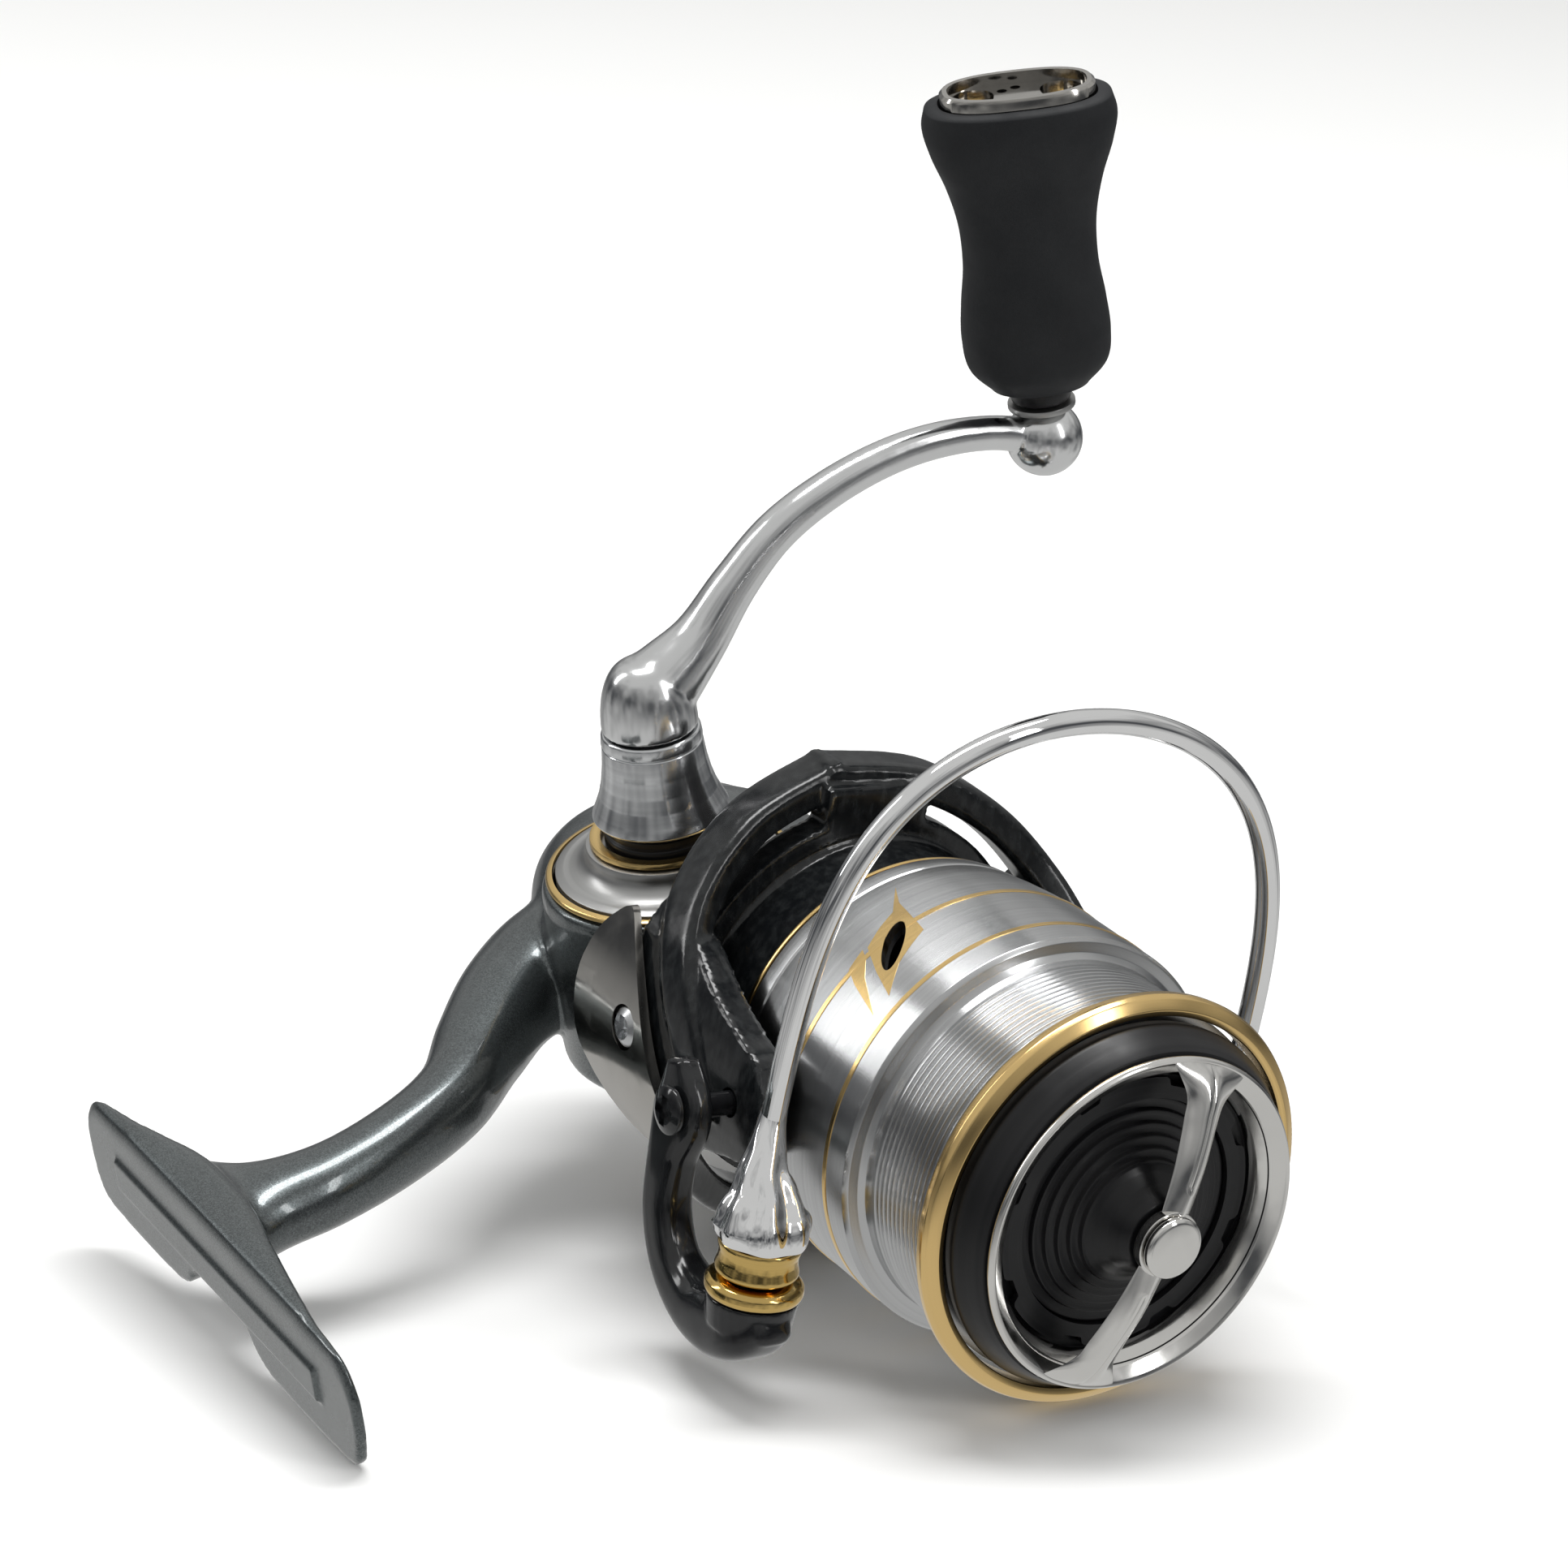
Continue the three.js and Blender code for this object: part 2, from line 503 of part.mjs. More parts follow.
/**
 * Moves a cylinder's rings to stations whose second half-size points away from the x axis. The
 * section is a rounded rectangle; corner sets how square it is, from 0 for sharp to 1 for round.
 */
function bandThrough(solid, stations, corner = 0.6) {
  const curve = new THREE.CatmullRomCurve3(
    stations.map((s) => new THREE.Vector3(...s.at)), false, 'centripetal');
  const position = solid.attributes.position;
  const last = stations.length - 1;
  for (let i = 0; i < position.count; i += 1) {
    const point = new THREE.Vector3().fromBufferAttribute(position, i);
    const row = Math.round((0.5 - point.y) * last);
    const along = row / last;
    const centre = curve.getPoint(along);
    const tangent = curve.getTangent(along);
    const radial = new THREE.Vector3(0, centre.y, centre.z).normalize();
    const across = new THREE.Vector3().crossVectors(tangent, radial).normalize();
    const outward = new THREE.Vector3().crossVectors(across, tangent);
    const [a, b] = stations[row].half;
    const square = (v) => Math.sign(v) * Math.abs(v) ** corner;
    centre.addScaledVector(across, -a * square(point.x));
    centre.addScaledVector(outward, b * square(point.z));
    position.setXYZ(i, centre.x, centre.y, centre.z);
  }
  return solid;
}

/** Curved arm beside the spool, side = -1 for the line-roller arm and 1 for the other. */
function rotorArm(side) {
  const plate = swept([
    { at: [-53.4, side * 25, 0], half: [13.5, 6] },
    { at: [-46, side * 25, 0], half: [12, 6] },
    { at: [-39, side * 25, 0], half: [9, 6] },
    { at: [-32, side * 25, 0], half: [6.8, 6] },
    { at: [-28, side * 25, 0], half: [5.6, 6] },
    { at: [-25.6, side * 25, 0], half: [3.4, 6] },
  ], [0, side, 0], { sides: 16, power: 4 });
  return common(plate, ringX(-56, -20, SKIRT_R + 0.9, ARM_R, FINE));
}

function rotorFrame() {
  const bowl = turnedX([
    [BOWL_FRONT, 17.6], [BOWL_FRONT, BOWL_R], [WEB_FRONT + 0.6, BOWL_R], [WEB_FRONT, 19.8],
    [WEB_FRONT, 22], [ROTOR_BACK, 22], [ROTOR_BACK, 12], [-48.9, 12], [-48.9, 3.3], [-46.2, 3.3],
    [-46.2, 16.4], [-44, 17.6],
  ], WIDE);
  const webs = [-1, 1].map((side) => {
    const y0 = Math.min(side * 18.5, side * 25.5);
    return box(ROTOR_BACK, WEB_FRONT, y0, y0 + 7, -10, 10);
  });
  const struts = [-1, 1].map((side) => {
    const z0 = Math.min(side * 18.5, side * 25.5);
    return box(ROTOR_BACK, WEB_FRONT, -6.5, 6.5, z0, z0 + 7);
  });
  const whole = join(bowl, rotorArm(-1), rotorArm(1), rotorArch(1), rotorArch(-1),
    ...webs, ...struts);
  const pivotHoles = [-1, 1].map((side) =>
    discZ(20, 32, 1.6, TINY).rotateX(side * -Math.PI / 2).translate(BAIL_X, 0, 0));
  const coverHoles = [-1, 1].map((side) =>
    discZ(22, 32, 1.2, TINY).rotateX(side * -Math.PI / 2).translate(COVER_SCREW_X, 0, 0));
  return cut(whole, ...pivotHoles, ...coverHoles,
    turnedX([[-50.2, 20.4], [-49.4, 19.5], [-20, 19.5], [-20, SKIRT_R + 0.6],
      [-50.2, SKIRT_R + 0.6]], FINE));
}

/** Leaf-shaped curved cover on the outside of a rotor arm. */
function armCover(side) {
  const leaf = [
    [-61.5, -5.5], [-62, 2], [-60, 8], [-56.4, 11.8], [-54.4, 10.6], [-49.2, 5.2], [-45.2, -0.6],
    [-42.2, -5], [-39.5, -9.6], [-43, -11], [-50, -11.3], [-56, -9.5],
  ];
  const [inside, outside] = [side * 20, side * 32].sort((a, b) => a - b);
  const shell = ringX(-63, -37, ARM_R + 0.6, ARM_R + 2.3, FINE);
  return common(plateY(leaf, inside, outside), shell);
}

function rotorPieces(rotor) {
  piece(rotor, 'rotor_frame', rotorFrame(), blackGloss);
  const toothed = toothedZ(PINION_TEETH, 2.85, PINION_R, -67.8, -60.2, 0).rotateY(Math.PI / 2);
  const tube = turnedX([[-68.6, 0], [-68.6, 2.85], [-42, 2.85], [-42, 0]], SMALL);
  piece(rotor, 'pinion', cut(join(toothed, tube), discX(-70, -40, SHAFT_R + 0.1, SMALL)), brassy);
  piece(rotor, 'clutch_sleeve', ringX(-54.5, -49.2, 3.15, 5.4, SMALL), steel);
  const hex = new THREE.CylinderGeometry(5.6, 5.6, 2.6, 6).rotateZ(Math.PI / 2)
    .translate(-44.6, 0, 0);
  piece(rotor, 'rotor_nut', cut(hex, discX(-47, -42, 3.15, TINY)), steel);
  for (const [label, side] of [['bail', -1], ['far', 1]]) {
    const hole = discZ(20, 34, 2.5, SMALL).rotateX(side * -Math.PI / 2)
      .translate(COVER_SCREW_X, 0, 0);
    piece(rotor, `arm_cover_${label}`, cut(armCover(side), hole), smokeChrome);
    const turn = side > 0 ? [0, 0, 0] : [0, 0, Math.PI];
    const seat = subgroup(rotor, [COVER_SCREW_X, side * (ARM_R + 0.4), 0], turn);
    piece(seat, `arm_cover_screw_${label}`, screw(2.2, 1.4, 0.9, 2.6), steel);
  }
}

// ---------------------------------------------------------------- bail
/** Points of the bail wire from the roller end round to the far arm. */
function wirePoints(steps) {
  const points = [];
  for (let i = 0; i <= steps; i += 1) {
    const t = 0.5 - 0.5 * Math.cos(Math.PI * THREE.MathUtils.lerp(0.024, 0.976, i / steps));
    const reach = BAIL_REACH * Math.sin(Math.PI * t) ** 0.55;
    points.push([
      THREE.MathUtils.lerp(WIRE_START[0], WIRE_END[0], t) + reach * Math.cos(BAIL_TILT * DEG),
      -BAIL_HALF * Math.cos(Math.PI * t),
      THREE.MathUtils.lerp(WIRE_START[1], WIRE_END[1], t) + reach * Math.sin(BAIL_TILT * DEG),
    ]);
  }
  return points;
}

function bailWire() {
  const wire = wirePoints(24).map((p) => [...p, WIRE_R]);
  const hoop = bar(wire, [1, 0, 0.2], { sides: 8, rows: 30 });
  const link = swept([
    { at: [BAIL_X, 30.6, 0], half: [3.6, 1.2] },
    { at: [BAIL_X + 5, 30.6, -1.6], half: [2.4, 1.3] },
    { at: [WIRE_END[0] - 1.6, 30.3, WIRE_END[1] + 1.4], half: [1.9, 1.5] },
    { at: [WIRE_END[0] + 0.5, 30.1, WIRE_END[1] + 4.5], half: [1.4, 1.4] },
  ], [0, 1, 0], { sides: 12, rows: 6 });
  const boss = discZ(29.3, 31.9, 4, SMALL).rotateX(-Math.PI / 2).translate(BAIL_X, 0, 0);
  return cut(join(hoop, link, boss),
    discZ(20, 40, 1.6, TINY).rotateX(-Math.PI / 2).translate(BAIL_X, 0, 0));
}

/** Lever on the line-roller arm, from the pivot round to the knuckle under the roller. */
function bailLever() {
  const curved = swept([
    { at: [BAIL_X - 2.4, -31.6, 4], half: [2, 1.4] },
    { at: [BAIL_X - 1, -31.8, 0], half: [4, 1.9] },
    { at: [BAIL_X - 1.4, -32, -6], half: [3, 2] },
    { at: [BAIL_X - 0.6, -32.2, -12], half: [2.6, 2.2] },
    { at: [BAIL_X + 2.6, -32.2, -16.6], half: [2.7, 2.4] },
    { at: [BAIL_X + 8, -32, -18.6], half: [3, 3.2] },
    { at: [BAIL_X + 13, ROLLER_Y, -18], half: [3.6, 4.2] },
    { at: [BAIL_X + 17.5, ROLLER_Y, -16.4], half: [3, 4] },
    { at: [BAIL_X + 20, ROLLER_Y, -15.4], half: [1.6, 2.4] },
  ], [0, -1, 0], { sides: 14, power: 2.3, rows: 14 });
  const seat = discZ(-16.5, -13.4, 4.6, SMALL).translate(ROLLER_X, ROLLER_Y, 0);
  return cut(join(curved, seat),
    discZ(-30, 40, 1.6, TINY).rotateX(Math.PI / 2).translate(BAIL_X, 0, 0),
    discZ(-17.4, -12, 1.9, TINY).translate(ROLLER_X, ROLLER_Y, 0));
}

function bailPieces(rotor) {
  piece(rotor, 'bail_wire', bailWire(), polished);
  piece(rotor, 'bail_lever', bailLever(), blackGloss);
  piece(rotor, 'bail_wire_base', cut(swept([
    { at: [ROLLER_X, ROLLER_Y, -6.9], half: [4.6, 4.6] },
    { at: [ROLLER_X, ROLLER_Y, -5.6], half: [4.9, 4.6] },
    { at: [ROLLER_X - 0.8, ROLLER_Y + 0.1, -2.8], half: [3.6, 3.2] },
    { at: [-17.6, -30.8, 1.2], half: [2.3, 2] },
    { at: [-18.4, -30.1, 3.9], half: [1.7, 1.6] },
  ], [1, 0, 0], { sides: 14, rows: 8 }), discZ(-8, -5, 1.9, TINY)
    .translate(ROLLER_X, ROLLER_Y, 0)), polished);
  for (const [label, side] of [['near', -1], ['far', 1]]) {
    const turn = side > 0 ? [0, 0, 0] : [0, 0, Math.PI];
    const seat = subgroup(rotor, [BAIL_X, side * (side > 0 ? 32.2 : 33.9), 0], turn);
    piece(seat, `bail_pivot_screw_${label}`, screw(2.6, 1, 1.3, side > 0 ? 7.6 : 9.3), steel);
  }
  const roller = subgroup(rotor, [ROLLER_X, ROLLER_Y, 0]);
  piece(roller, 'roller_pin', discZ(-17.1, -5.2, 1.6, TINY), steel);
  piece(roller, 'roller_flange', turnedZ([
    [-13.1, 1.9], [-13.1, 4.9], [-12.2, 5.1], [-11.6, 4.9], [-11.1, 3.4], [-11.1, 1.9],
  ], MEDIUM), gold);
  piece(roller, 'line_roller', turnedZ([
    [-10.8, 3.1], [-10.8, 4.3], [-10.2, 4.4], [-9.4, 3.8], [-8.6, 3.8], [-7.8, 4.3],
    [-7.3, 4.3], [-7.3, 3.1],
  ], MEDIUM), gold);
  piece(roller, 'roller_bearing', bearingZ(-10.4, -7.7, 1.7, 3), steel);
}

// ---------------------------------------------------------------- spool and drag
function spoolBody() {
  const shell = turnedX([
    [SKIRT_REAR_X, 20.2], [SKIRT_REAR_X, SKIRT_REAR_R + 0.1], [-34, 22.1], [-27.3, SKIRT_R],
    [FLANGE_X - 0.6, SKIRT_R], [FLANGE_X, 22.2], [FLANGE_X + 0.4, ARBOR_R], [-2.2, ARBOR_R],
    [-2.2, DRAG_POCKET_R], [-10, DRAG_POCKET_R], [-10, 5.2], [-18, 5.2], [-18, 7.6],
    [-13, 8.4], [-13, 18.4], [-15, 19], [-18, 20.9], [-28, 20.9],
  ], FINE);
  const slots = [0, 1].map((i) => slotTool().rotateX(i * Math.PI + SLOT_ROLL * DEG));
  return cut(shell, ...slots);
}

/** Slanted oval cutter for a slot through the skirt, at the top of the spool. */
function slotTool() {
  const cutter = new THREE.CylinderGeometry(1, 1, 10, 20).rotateX(Math.PI / 2);
  return cutter.scale(...SLOT_HALF, 1).rotateZ(-SLOT_SLANT * DEG).translate(SLOT_X, 0, SKIRT_R);
}

function spoolPieces(spool) {
  piece(spool, 'spool', spoolBody(), machined);
  piece(spool, 'spool_lip', turnedX([
    [LIP_BACK, 20.7], [LIP_BACK, 21.8], [-1.5, LIP_R + 0.2], [-0.4, LIP_R + 0.2], [0, LIP_R],
    [0.7, 21.4], [0.4, 20.7],
  ], FINE), gold);
  piece(spool, 'spool_rear_ring', turnedX([
    [-40.9, 20.3], [-40.9, 20.8], [-40.5, SKIRT_REAR_R], [-40, SKIRT_REAR_R], [-40, 20.3],
  ], FINE), gold);
  piece(spool, 'spool_bearing', bearingX(-17.6, -14.6, 3.2, 4.9), steel);
  piece(spool, 'clicker_ring', toothedZ(30, 11.4, 12, -15.4, -13.3, 9.4).rotateY(Math.PI / 2),
    blackMatte);
  piece(spool, 'drag_washer_rear', ringX(-9.7, -9, 3.4, 13.6, MEDIUM), carbon);
  piece(spool, 'drag_washer_front', ringX(-7.5, -6.8, 3.4, 13.6, MEDIUM), carbon);
  piece(spool, 'drag_retainer', ringX(-6.4, -5.6, 12.6, 13.7, MEDIUM), steel);
}

function shaftPieces(shaft) {
  piece(shaft, 'main_shaft', discX(-80.4, 4.6, SHAFT_R, TINY), steel);
  const block = join(box(-81, -74, -3.2, 3, -3, 3), box(-81, -74, 2.6, 6.2, -6, 6));
  const railHole = (z) => discX(-90, -70, 1.4, TINY).translate(0, RAIL_Y, z);
  piece(shaft, 'slider', cut(block, discX(-87, -70, SHAFT_R + 0.3, TINY), railHole(RAIL_Z),
    railHole(-RAIL_Z), discX(-87, -70, 2.5, SMALL).translate(0, WORM_Y, 0)), brassy);
  piece(shaft, 'spool_seat', turnedX([
    [-21.6, 2.3], [-21.6, 7.4], [-20.4, 7.4], [-20.4, 4.2], [-18.4, 4.2], [-18.4, 3], [-10.4, 3],
    [-10.4, 2.3],
  ], SMALL), blackMatte);
  piece(shaft, 'drag_washer_keyed', ringX(-8.6, -7.9, 2.4, 13.2, MEDIUM), steel);
}

function wormPieces(worm) {
  const rings = [];
  for (let x = -87; x < -71; x += 4) {
    rings.push([x, 1.5], [x + 0.5, 2.2], [x + 2.3, 2.2], [x + 2.8, 1.5]);
  }
  const outline = [[-89.8, 0], [-89.8, 1.5], ...rings, [-68, 1.5], [-68, 2.2], [-62, 2.2],
    [-62, 0]];
  const gear = toothedZ(10, 3.9, WORM_GEAR_R, -67.4, -64, 0).rotateY(Math.PI / 2);
  piece(worm, 'worm_shaft', join(turnedX(outline, 20), gear), steel);
}

/** Chrome ring and two-spoke bridge of the drag knob; the bridge runs along y. */
function dragBridge() {
  const rim = turnedX([
    [4.9, 16.4], [4.9, 18.3], [5.6, 18.2], [6.2, 17.4], [5.6, 16.5],
  ], WIDE);
  const spokes = [-1, 1].map((side) => swept([
    { at: [6.1, side * 17.4, 0], half: [3.2, 0.5] },
    { at: [7, side * 14.6, 0], half: [1.5, 0.9] },
    { at: [8.2, side * 8, 0], half: [1.5, 1.2] },
    { at: [9, side * 2, 0], half: [2, 0.8] },
  ], [1, 0, 0], { sides: 10, power: 2.4, rows: 4 }));
  const hub = discX(8.5, 9.7, 3.6, SMALL);
  return join(rim, ...spokes, hub);
}

function dragKnobPieces(knob) {
  piece(knob, 'drag_knob_body', turnedX([
    [0.9, 20.1], [2.6, 19.4], [4.6, 18.5], [4.6, 16.3], [1.4, 15.8], [1, 13.2], [1.6, 13],
    [2, 11], [2.7, 10.8], [3.1, 9], [3.9, 8.8], [4.4, 7.2], [5, 7], [5.4, 5.2], [6.5, 3.5],
    [7.6, 3.1], [7.6, 2.4], [-5.4, 2.4], [-5.4, 8], [-1, 8], [-1, 13.4], [-0.4, 19.9],
  ], WIDE), blackMatte);
  piece(knob, 'drag_knob_seal', ringX(-2.9, -1.4, 8.3, 13.6, MEDIUM), blackRubber);
  piece(knob, 'drag_knob_bridge', dragBridge(), polished);
  piece(knob, 'drag_knob_cap', turnedX([
    [10, 0], [10, 3.3], [10.6, 3.3], [11, 2.8], [11.2, 0],
  ], SMALL), polished);
}

// ---------------------------------------------------------------- assembly
const object = new THREE.Group();
const resting = subgroup(object, REST_SHIFT);
const rolled = subgroup(resting, [0, 0, 0], [0, REST_PITCH * DEG, 0]);
const reel = subgroup(rolled, [0, 0, 0], [REST_ROLL * DEG, 0, 0]);

fixedPieces(reel);
const handle = subgroup(reel, [DRIVE_X, DRIVE_Y, 0]);
handlePieces(handle);
piece(reel, 'handle_arm', handleArm(), machined);
knobHardware(handle);
knobPieces(subgroup(reel, [KNOB_X, KNOB_Y, 0], [0, 0, KNOB_ROLL * DEG]));
const rotor = subgroup(reel, [0, 0, 0], [-ROTOR_ROLL * DEG, 0, 0]);
rotorPieces(rotor);
bailPieces(rotor);
spoolPieces(reel);
shaftPieces(reel);
wormPieces(subgroup(reel, [0, WORM_Y, 0]));
dragKnobPieces(subgroup(reel, [0, 0, 0], [BRIDGE_ROLL * DEG, 0, 0]));

export default object;
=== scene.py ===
# Looks of the spinning reel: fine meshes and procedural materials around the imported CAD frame.
# Shapes are drawn in millimetres in the reel's own frames, which are read from the CAD joints:
#   reel frame   x forward along the spool axis, y away from the rod foot, z to the handle side
#   rotor frame  the same x, with y along the bail's pivot axis
#   knob frame   z along the grip, x along its wide side
# The origin of the reel and rotor frames is the centre of the spool's front lip.
import json
import math

import bmesh
import bpy
import numpy as np
from mathutils import Matrix, Vector


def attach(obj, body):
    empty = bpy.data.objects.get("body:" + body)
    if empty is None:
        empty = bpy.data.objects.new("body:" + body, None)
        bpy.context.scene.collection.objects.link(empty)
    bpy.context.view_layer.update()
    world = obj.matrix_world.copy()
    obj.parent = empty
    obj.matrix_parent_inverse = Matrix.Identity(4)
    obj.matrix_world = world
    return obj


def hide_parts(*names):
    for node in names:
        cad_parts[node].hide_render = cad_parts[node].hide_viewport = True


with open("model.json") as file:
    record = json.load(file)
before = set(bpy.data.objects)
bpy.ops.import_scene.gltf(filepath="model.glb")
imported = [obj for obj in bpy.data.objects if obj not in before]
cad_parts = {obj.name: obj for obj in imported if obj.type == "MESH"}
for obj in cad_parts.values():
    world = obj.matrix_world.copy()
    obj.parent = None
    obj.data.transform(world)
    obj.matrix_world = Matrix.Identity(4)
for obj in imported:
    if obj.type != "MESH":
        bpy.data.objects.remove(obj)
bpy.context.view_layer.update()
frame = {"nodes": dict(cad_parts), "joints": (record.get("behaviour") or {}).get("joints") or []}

# ---- frames
MM = 0.001
JOINTS = {joint["name"]: joint for joint in frame["joints"]}
FORWARD = Vector(JOINTS["spool_slip"]["axis"])
HANDLE_SIDE = Vector(JOINTS["handle_turn"]["axis"])


def basis(x_axis, y_axis, origin):
    """Right-handed frame from its x and y directions and its origin."""
    x_axis, y_axis = Vector(x_axis).normalized(), Vector(y_axis).normalized()
    matrix = Matrix((x_axis, y_axis, x_axis.cross(y_axis))).transposed().to_4x4()
    matrix.translation = Vector(origin)
    return matrix


def joint_point(place, name):
    """A joint's position in a frame, in millimetres."""
    return place.inverted() @ Vector(JOINTS[name]["pos_m"]) / MM


def moved(place, x=0.0, y=0.0, z=0.0, turn=0.0, about="Z"):
    """A frame shifted in millimetres along its own axes and then turned by degrees."""
    return place @ Matrix.Translation(Vector((x, y, z)) * MM) @ Matrix.Rotation(math.radians(turn), 4, about)


KNOB_ROLL = 62
BRIDGE_ROLL = 58
REEL = basis(FORWARD, HANDLE_SIDE.cross(FORWARD), JOINTS["spool_slip"]["pos_m"])
ROTOR = basis(FORWARD, JOINTS["bail_flip"]["axis"], JOINTS["spool_slip"]["pos_m"])
DRIVE = joint_point(REEL, "handle_turn")
KNOB = joint_point(REEL, "knob_spin")
PIVOT = joint_point(ROTOR, "bail_flip")
ROLLER = joint_point(ROTOR, "line_roller_spin")
DRIVE_FRAME = moved(REEL, DRIVE.x, DRIVE.y)
KNOB_FRAME = moved(REEL, KNOB.x, KNOB.y, 0, KNOB_ROLL)
BRIDGE_FRAME = moved(REEL, 0, 0, 0, BRIDGE_ROLL, "X")
ROLLER_FRAME = moved(ROTOR, ROLLER.x, ROLLER.y)

# ---- shapes: (points, faces) in millimetres
ROUND_LARGE = 160          # facets round the spool and the drag knob
ROUND = 128                # facets round most turned pieces
ROUND_SMALL = 64           # facets round the small ones
AXES = {"x": (0, 1, 2), "y": (1, 2, 0), "z": (2, 0, 1)}


def rounded(outline, radius=0.25, steps=3, closed=True):
    """An outline of (along, radius) pairs with each corner off the axis turned into a short arc."""
    points = [np.array(p, float) for p in outline]
    result = []
    for i, corner in enumerate(points):
        before, after = points[i - 1], points[(i + 1) % len(points)]
        at_end = not closed and i in (0, len(points) - 1)
        to_before, to_after = before - corner, after - corner
        a, b = np.linalg.norm(to_before), np.linalg.norm(to_after)
        if at_end or corner[1] < 1e-6 or min(a, b) < 1e-6:
            result.append(corner)
            continue
        reach = min(radius, 0.45 * a, 0.45 * b)
        start, end = corner + to_before / a * reach, corner + to_after / b * reach
        for t in np.linspace(0, 1, steps + 1):
            result.append((1 - t) ** 2 * start + 2 * t * (1 - t) * corner + t * t * end)
    return result


def lathe(outline, axis="x", segments=ROUND, closed=True):
    """Turned solid about an axis; a closed outline makes a ring, an open one starts and ends on the axis."""
    along, second, third = AXES[axis]
    angles = np.linspace(0, 2 * math.pi, segments, endpoint=False)
    points, rings = [], []
    for place, radius in outline:
        spots = angles if radius > 1e-6 else angles[:1]
        rings.append(list(range(len(points), len(points) + len(spots))))
        for angle in spots:
            point = np.zeros(3)
            point[along] = place
            point[second] = radius * math.cos(angle)
            point[third] = radius * math.sin(angle)
            points.append(point)
    faces = []
    pairs = list(zip(rings, rings[1:]))
    if closed:
        pairs.append((rings[-1], rings[0]))
    for one, two in pairs:
        faces += joined_rings(one, two)
    return np.array(points), faces


def rod(low, high, radius, axis, segments=24):
    """Straight round bar along an axis."""
    return lathe([(low, 0), (low, radius), (high, radius), (high, 0)], axis, segments, False)


def turned_piece(outline, corner, steps, axis="z", segments=ROUND, closed=True):
    """Turned solid with rounded corners."""
    return lathe(rounded(outline, corner, steps, closed), axis, segments, closed)


def joined_rings(one, two):
    """Faces between two rings of equal length, or between a ring and a single point."""
    if len(one) == 1 and len(two) == 1:
        return []
    count = max(len(one), len(two))
    faces = []
    for i in range(count):
        j = (i + 1) % count
        if len(one) == 1:
            faces.append((one[0], two[j], two[i]))
        elif len(two) == 1:
            faces.append((one[i], one[j], two[0]))
        else:
            faces.append((one[i], one[j], two[j], two[i]))
    return faces


def spline(stations, count):
    """Smooth rows through stations; the first three numbers of a station are its place."""
    rows = np.array(stations, float)
    knots = np.concatenate([[0], np.cumsum(np.linalg.norm(np.diff(rows[:, :3], axis=0), axis=1) ** 0.7)])
    slopes = np.gradient(rows, knots, axis=0)
    places = np.linspace(0, knots[-1], count)
    first = np.clip(np.searchsorted(knots, places, side="right") - 1, 0, len(knots) - 2)
    step = (knots[first + 1] - knots[first])[:, None]
    t = ((places - knots[first]) / step[:, 0])[:, None]
    h00, h10 = 2 * t**3 - 3 * t**2 + 1, t**3 - 2 * t**2 + t
    h01, h11 = -2 * t**3 + 3 * t**2, t**3 - t**2
    return (h00 * rows[first] + h10 * step * slopes[first]
            + h01 * rows[first + 1] + h11 * step * slopes[first + 1])


def superellipse(angles, power):
    """Across and up shares of a section that goes from an oval (2) to a rounded box."""
    return [np.sign(v) * np.abs(v) ** (2 / power) for v in (np.cos(angles), np.sin(angles))]


def sweep(stations, up, sides=40, rows=80, power=2.0, caps=0.5, section=None):
    """Solid along stations (x, y, z, half side, half up). The section is a superellipse; caps gives how
    far the rounded ends stand out, as a share of the half size; section(angle, t) scales the radius."""
    rail = spline(stations, rows)
    tangents = np.gradient(rail[:, :3], axis=0)
    tangents /= np.linalg.norm(tangents, axis=1)[:, None]
    angles = np.linspace(0, 2 * math.pi, sides, endpoint=False)
    wide, tall = superellipse(angles, power)
    rings = []

    def add_ring(k, scale, shift):
        tangent = tangents[k]
        upward = np.array(up(rail[k, :3]) if callable(up) else up, float)
        across = np.cross(tangent, upward)
        across /= np.linalg.norm(across)
        above = np.cross(across, tangent)
        swell = section(angles, k / (rows - 1)) if section else 1.0
        ring = (rail[k, :3] + tangent * shift
                + np.outer(wide * swell * rail[k, 3] * scale, across)
                + np.outer(tall * swell * rail[k, 4] * scale, above))
        rings.append(ring)

    dome = [(math.cos(a), math.sin(a)) for a in np.linspace(0.12, math.pi / 2 - 0.05, 6)]
    bulge = np.minimum(rail[:, 3], rail[:, 4]) * caps
    for shrink, rise in reversed(dome):
        add_ring(0, shrink, -bulge[0] * rise)
    for k in range(rows):
        add_ring(k, 1.0, 0.0)
    for shrink, rise in dome:
        add_ring(rows - 1, shrink, bulge[-1] * rise)
    return skin(rings)


def skin(rings):
    """Closed solid over a list of rings, with a point in the middle of each end."""
    sides = len(rings[0])
    points = [rings[0].mean(0)]
    index = [[0]]
    for ring in rings:
        index.append(list(range(len(points), len(points) + sides)))
        points.extend(ring)
    index.append([len(points)])
    points.append(rings[-1].mean(0))
    faces = []
    for one, two in zip(index, index[1:]):
        faces += joined_rings(one, two)
    return np.array(points), faces


def prism(corners, low, high, axis="z"):
    """Straight prism along an axis over a list of corners."""
    along, second, third = AXES[axis]
    count = len(corners)
    points = np.zeros((2 * count, 3))
    for i, (a, b) in enumerate(corners):
        for level, place in enumerate((low, high)):
            points[level * count + i, along] = place
            points[level * count + i, second] = a
            points[level * count + i, third] = b
    faces = [tuple(range(count)), tuple(range(count, 2 * count))]
    for i in range(count):
        j = (i + 1) % count
        faces.append((i, j, count + j, count + i))
    return points, faces


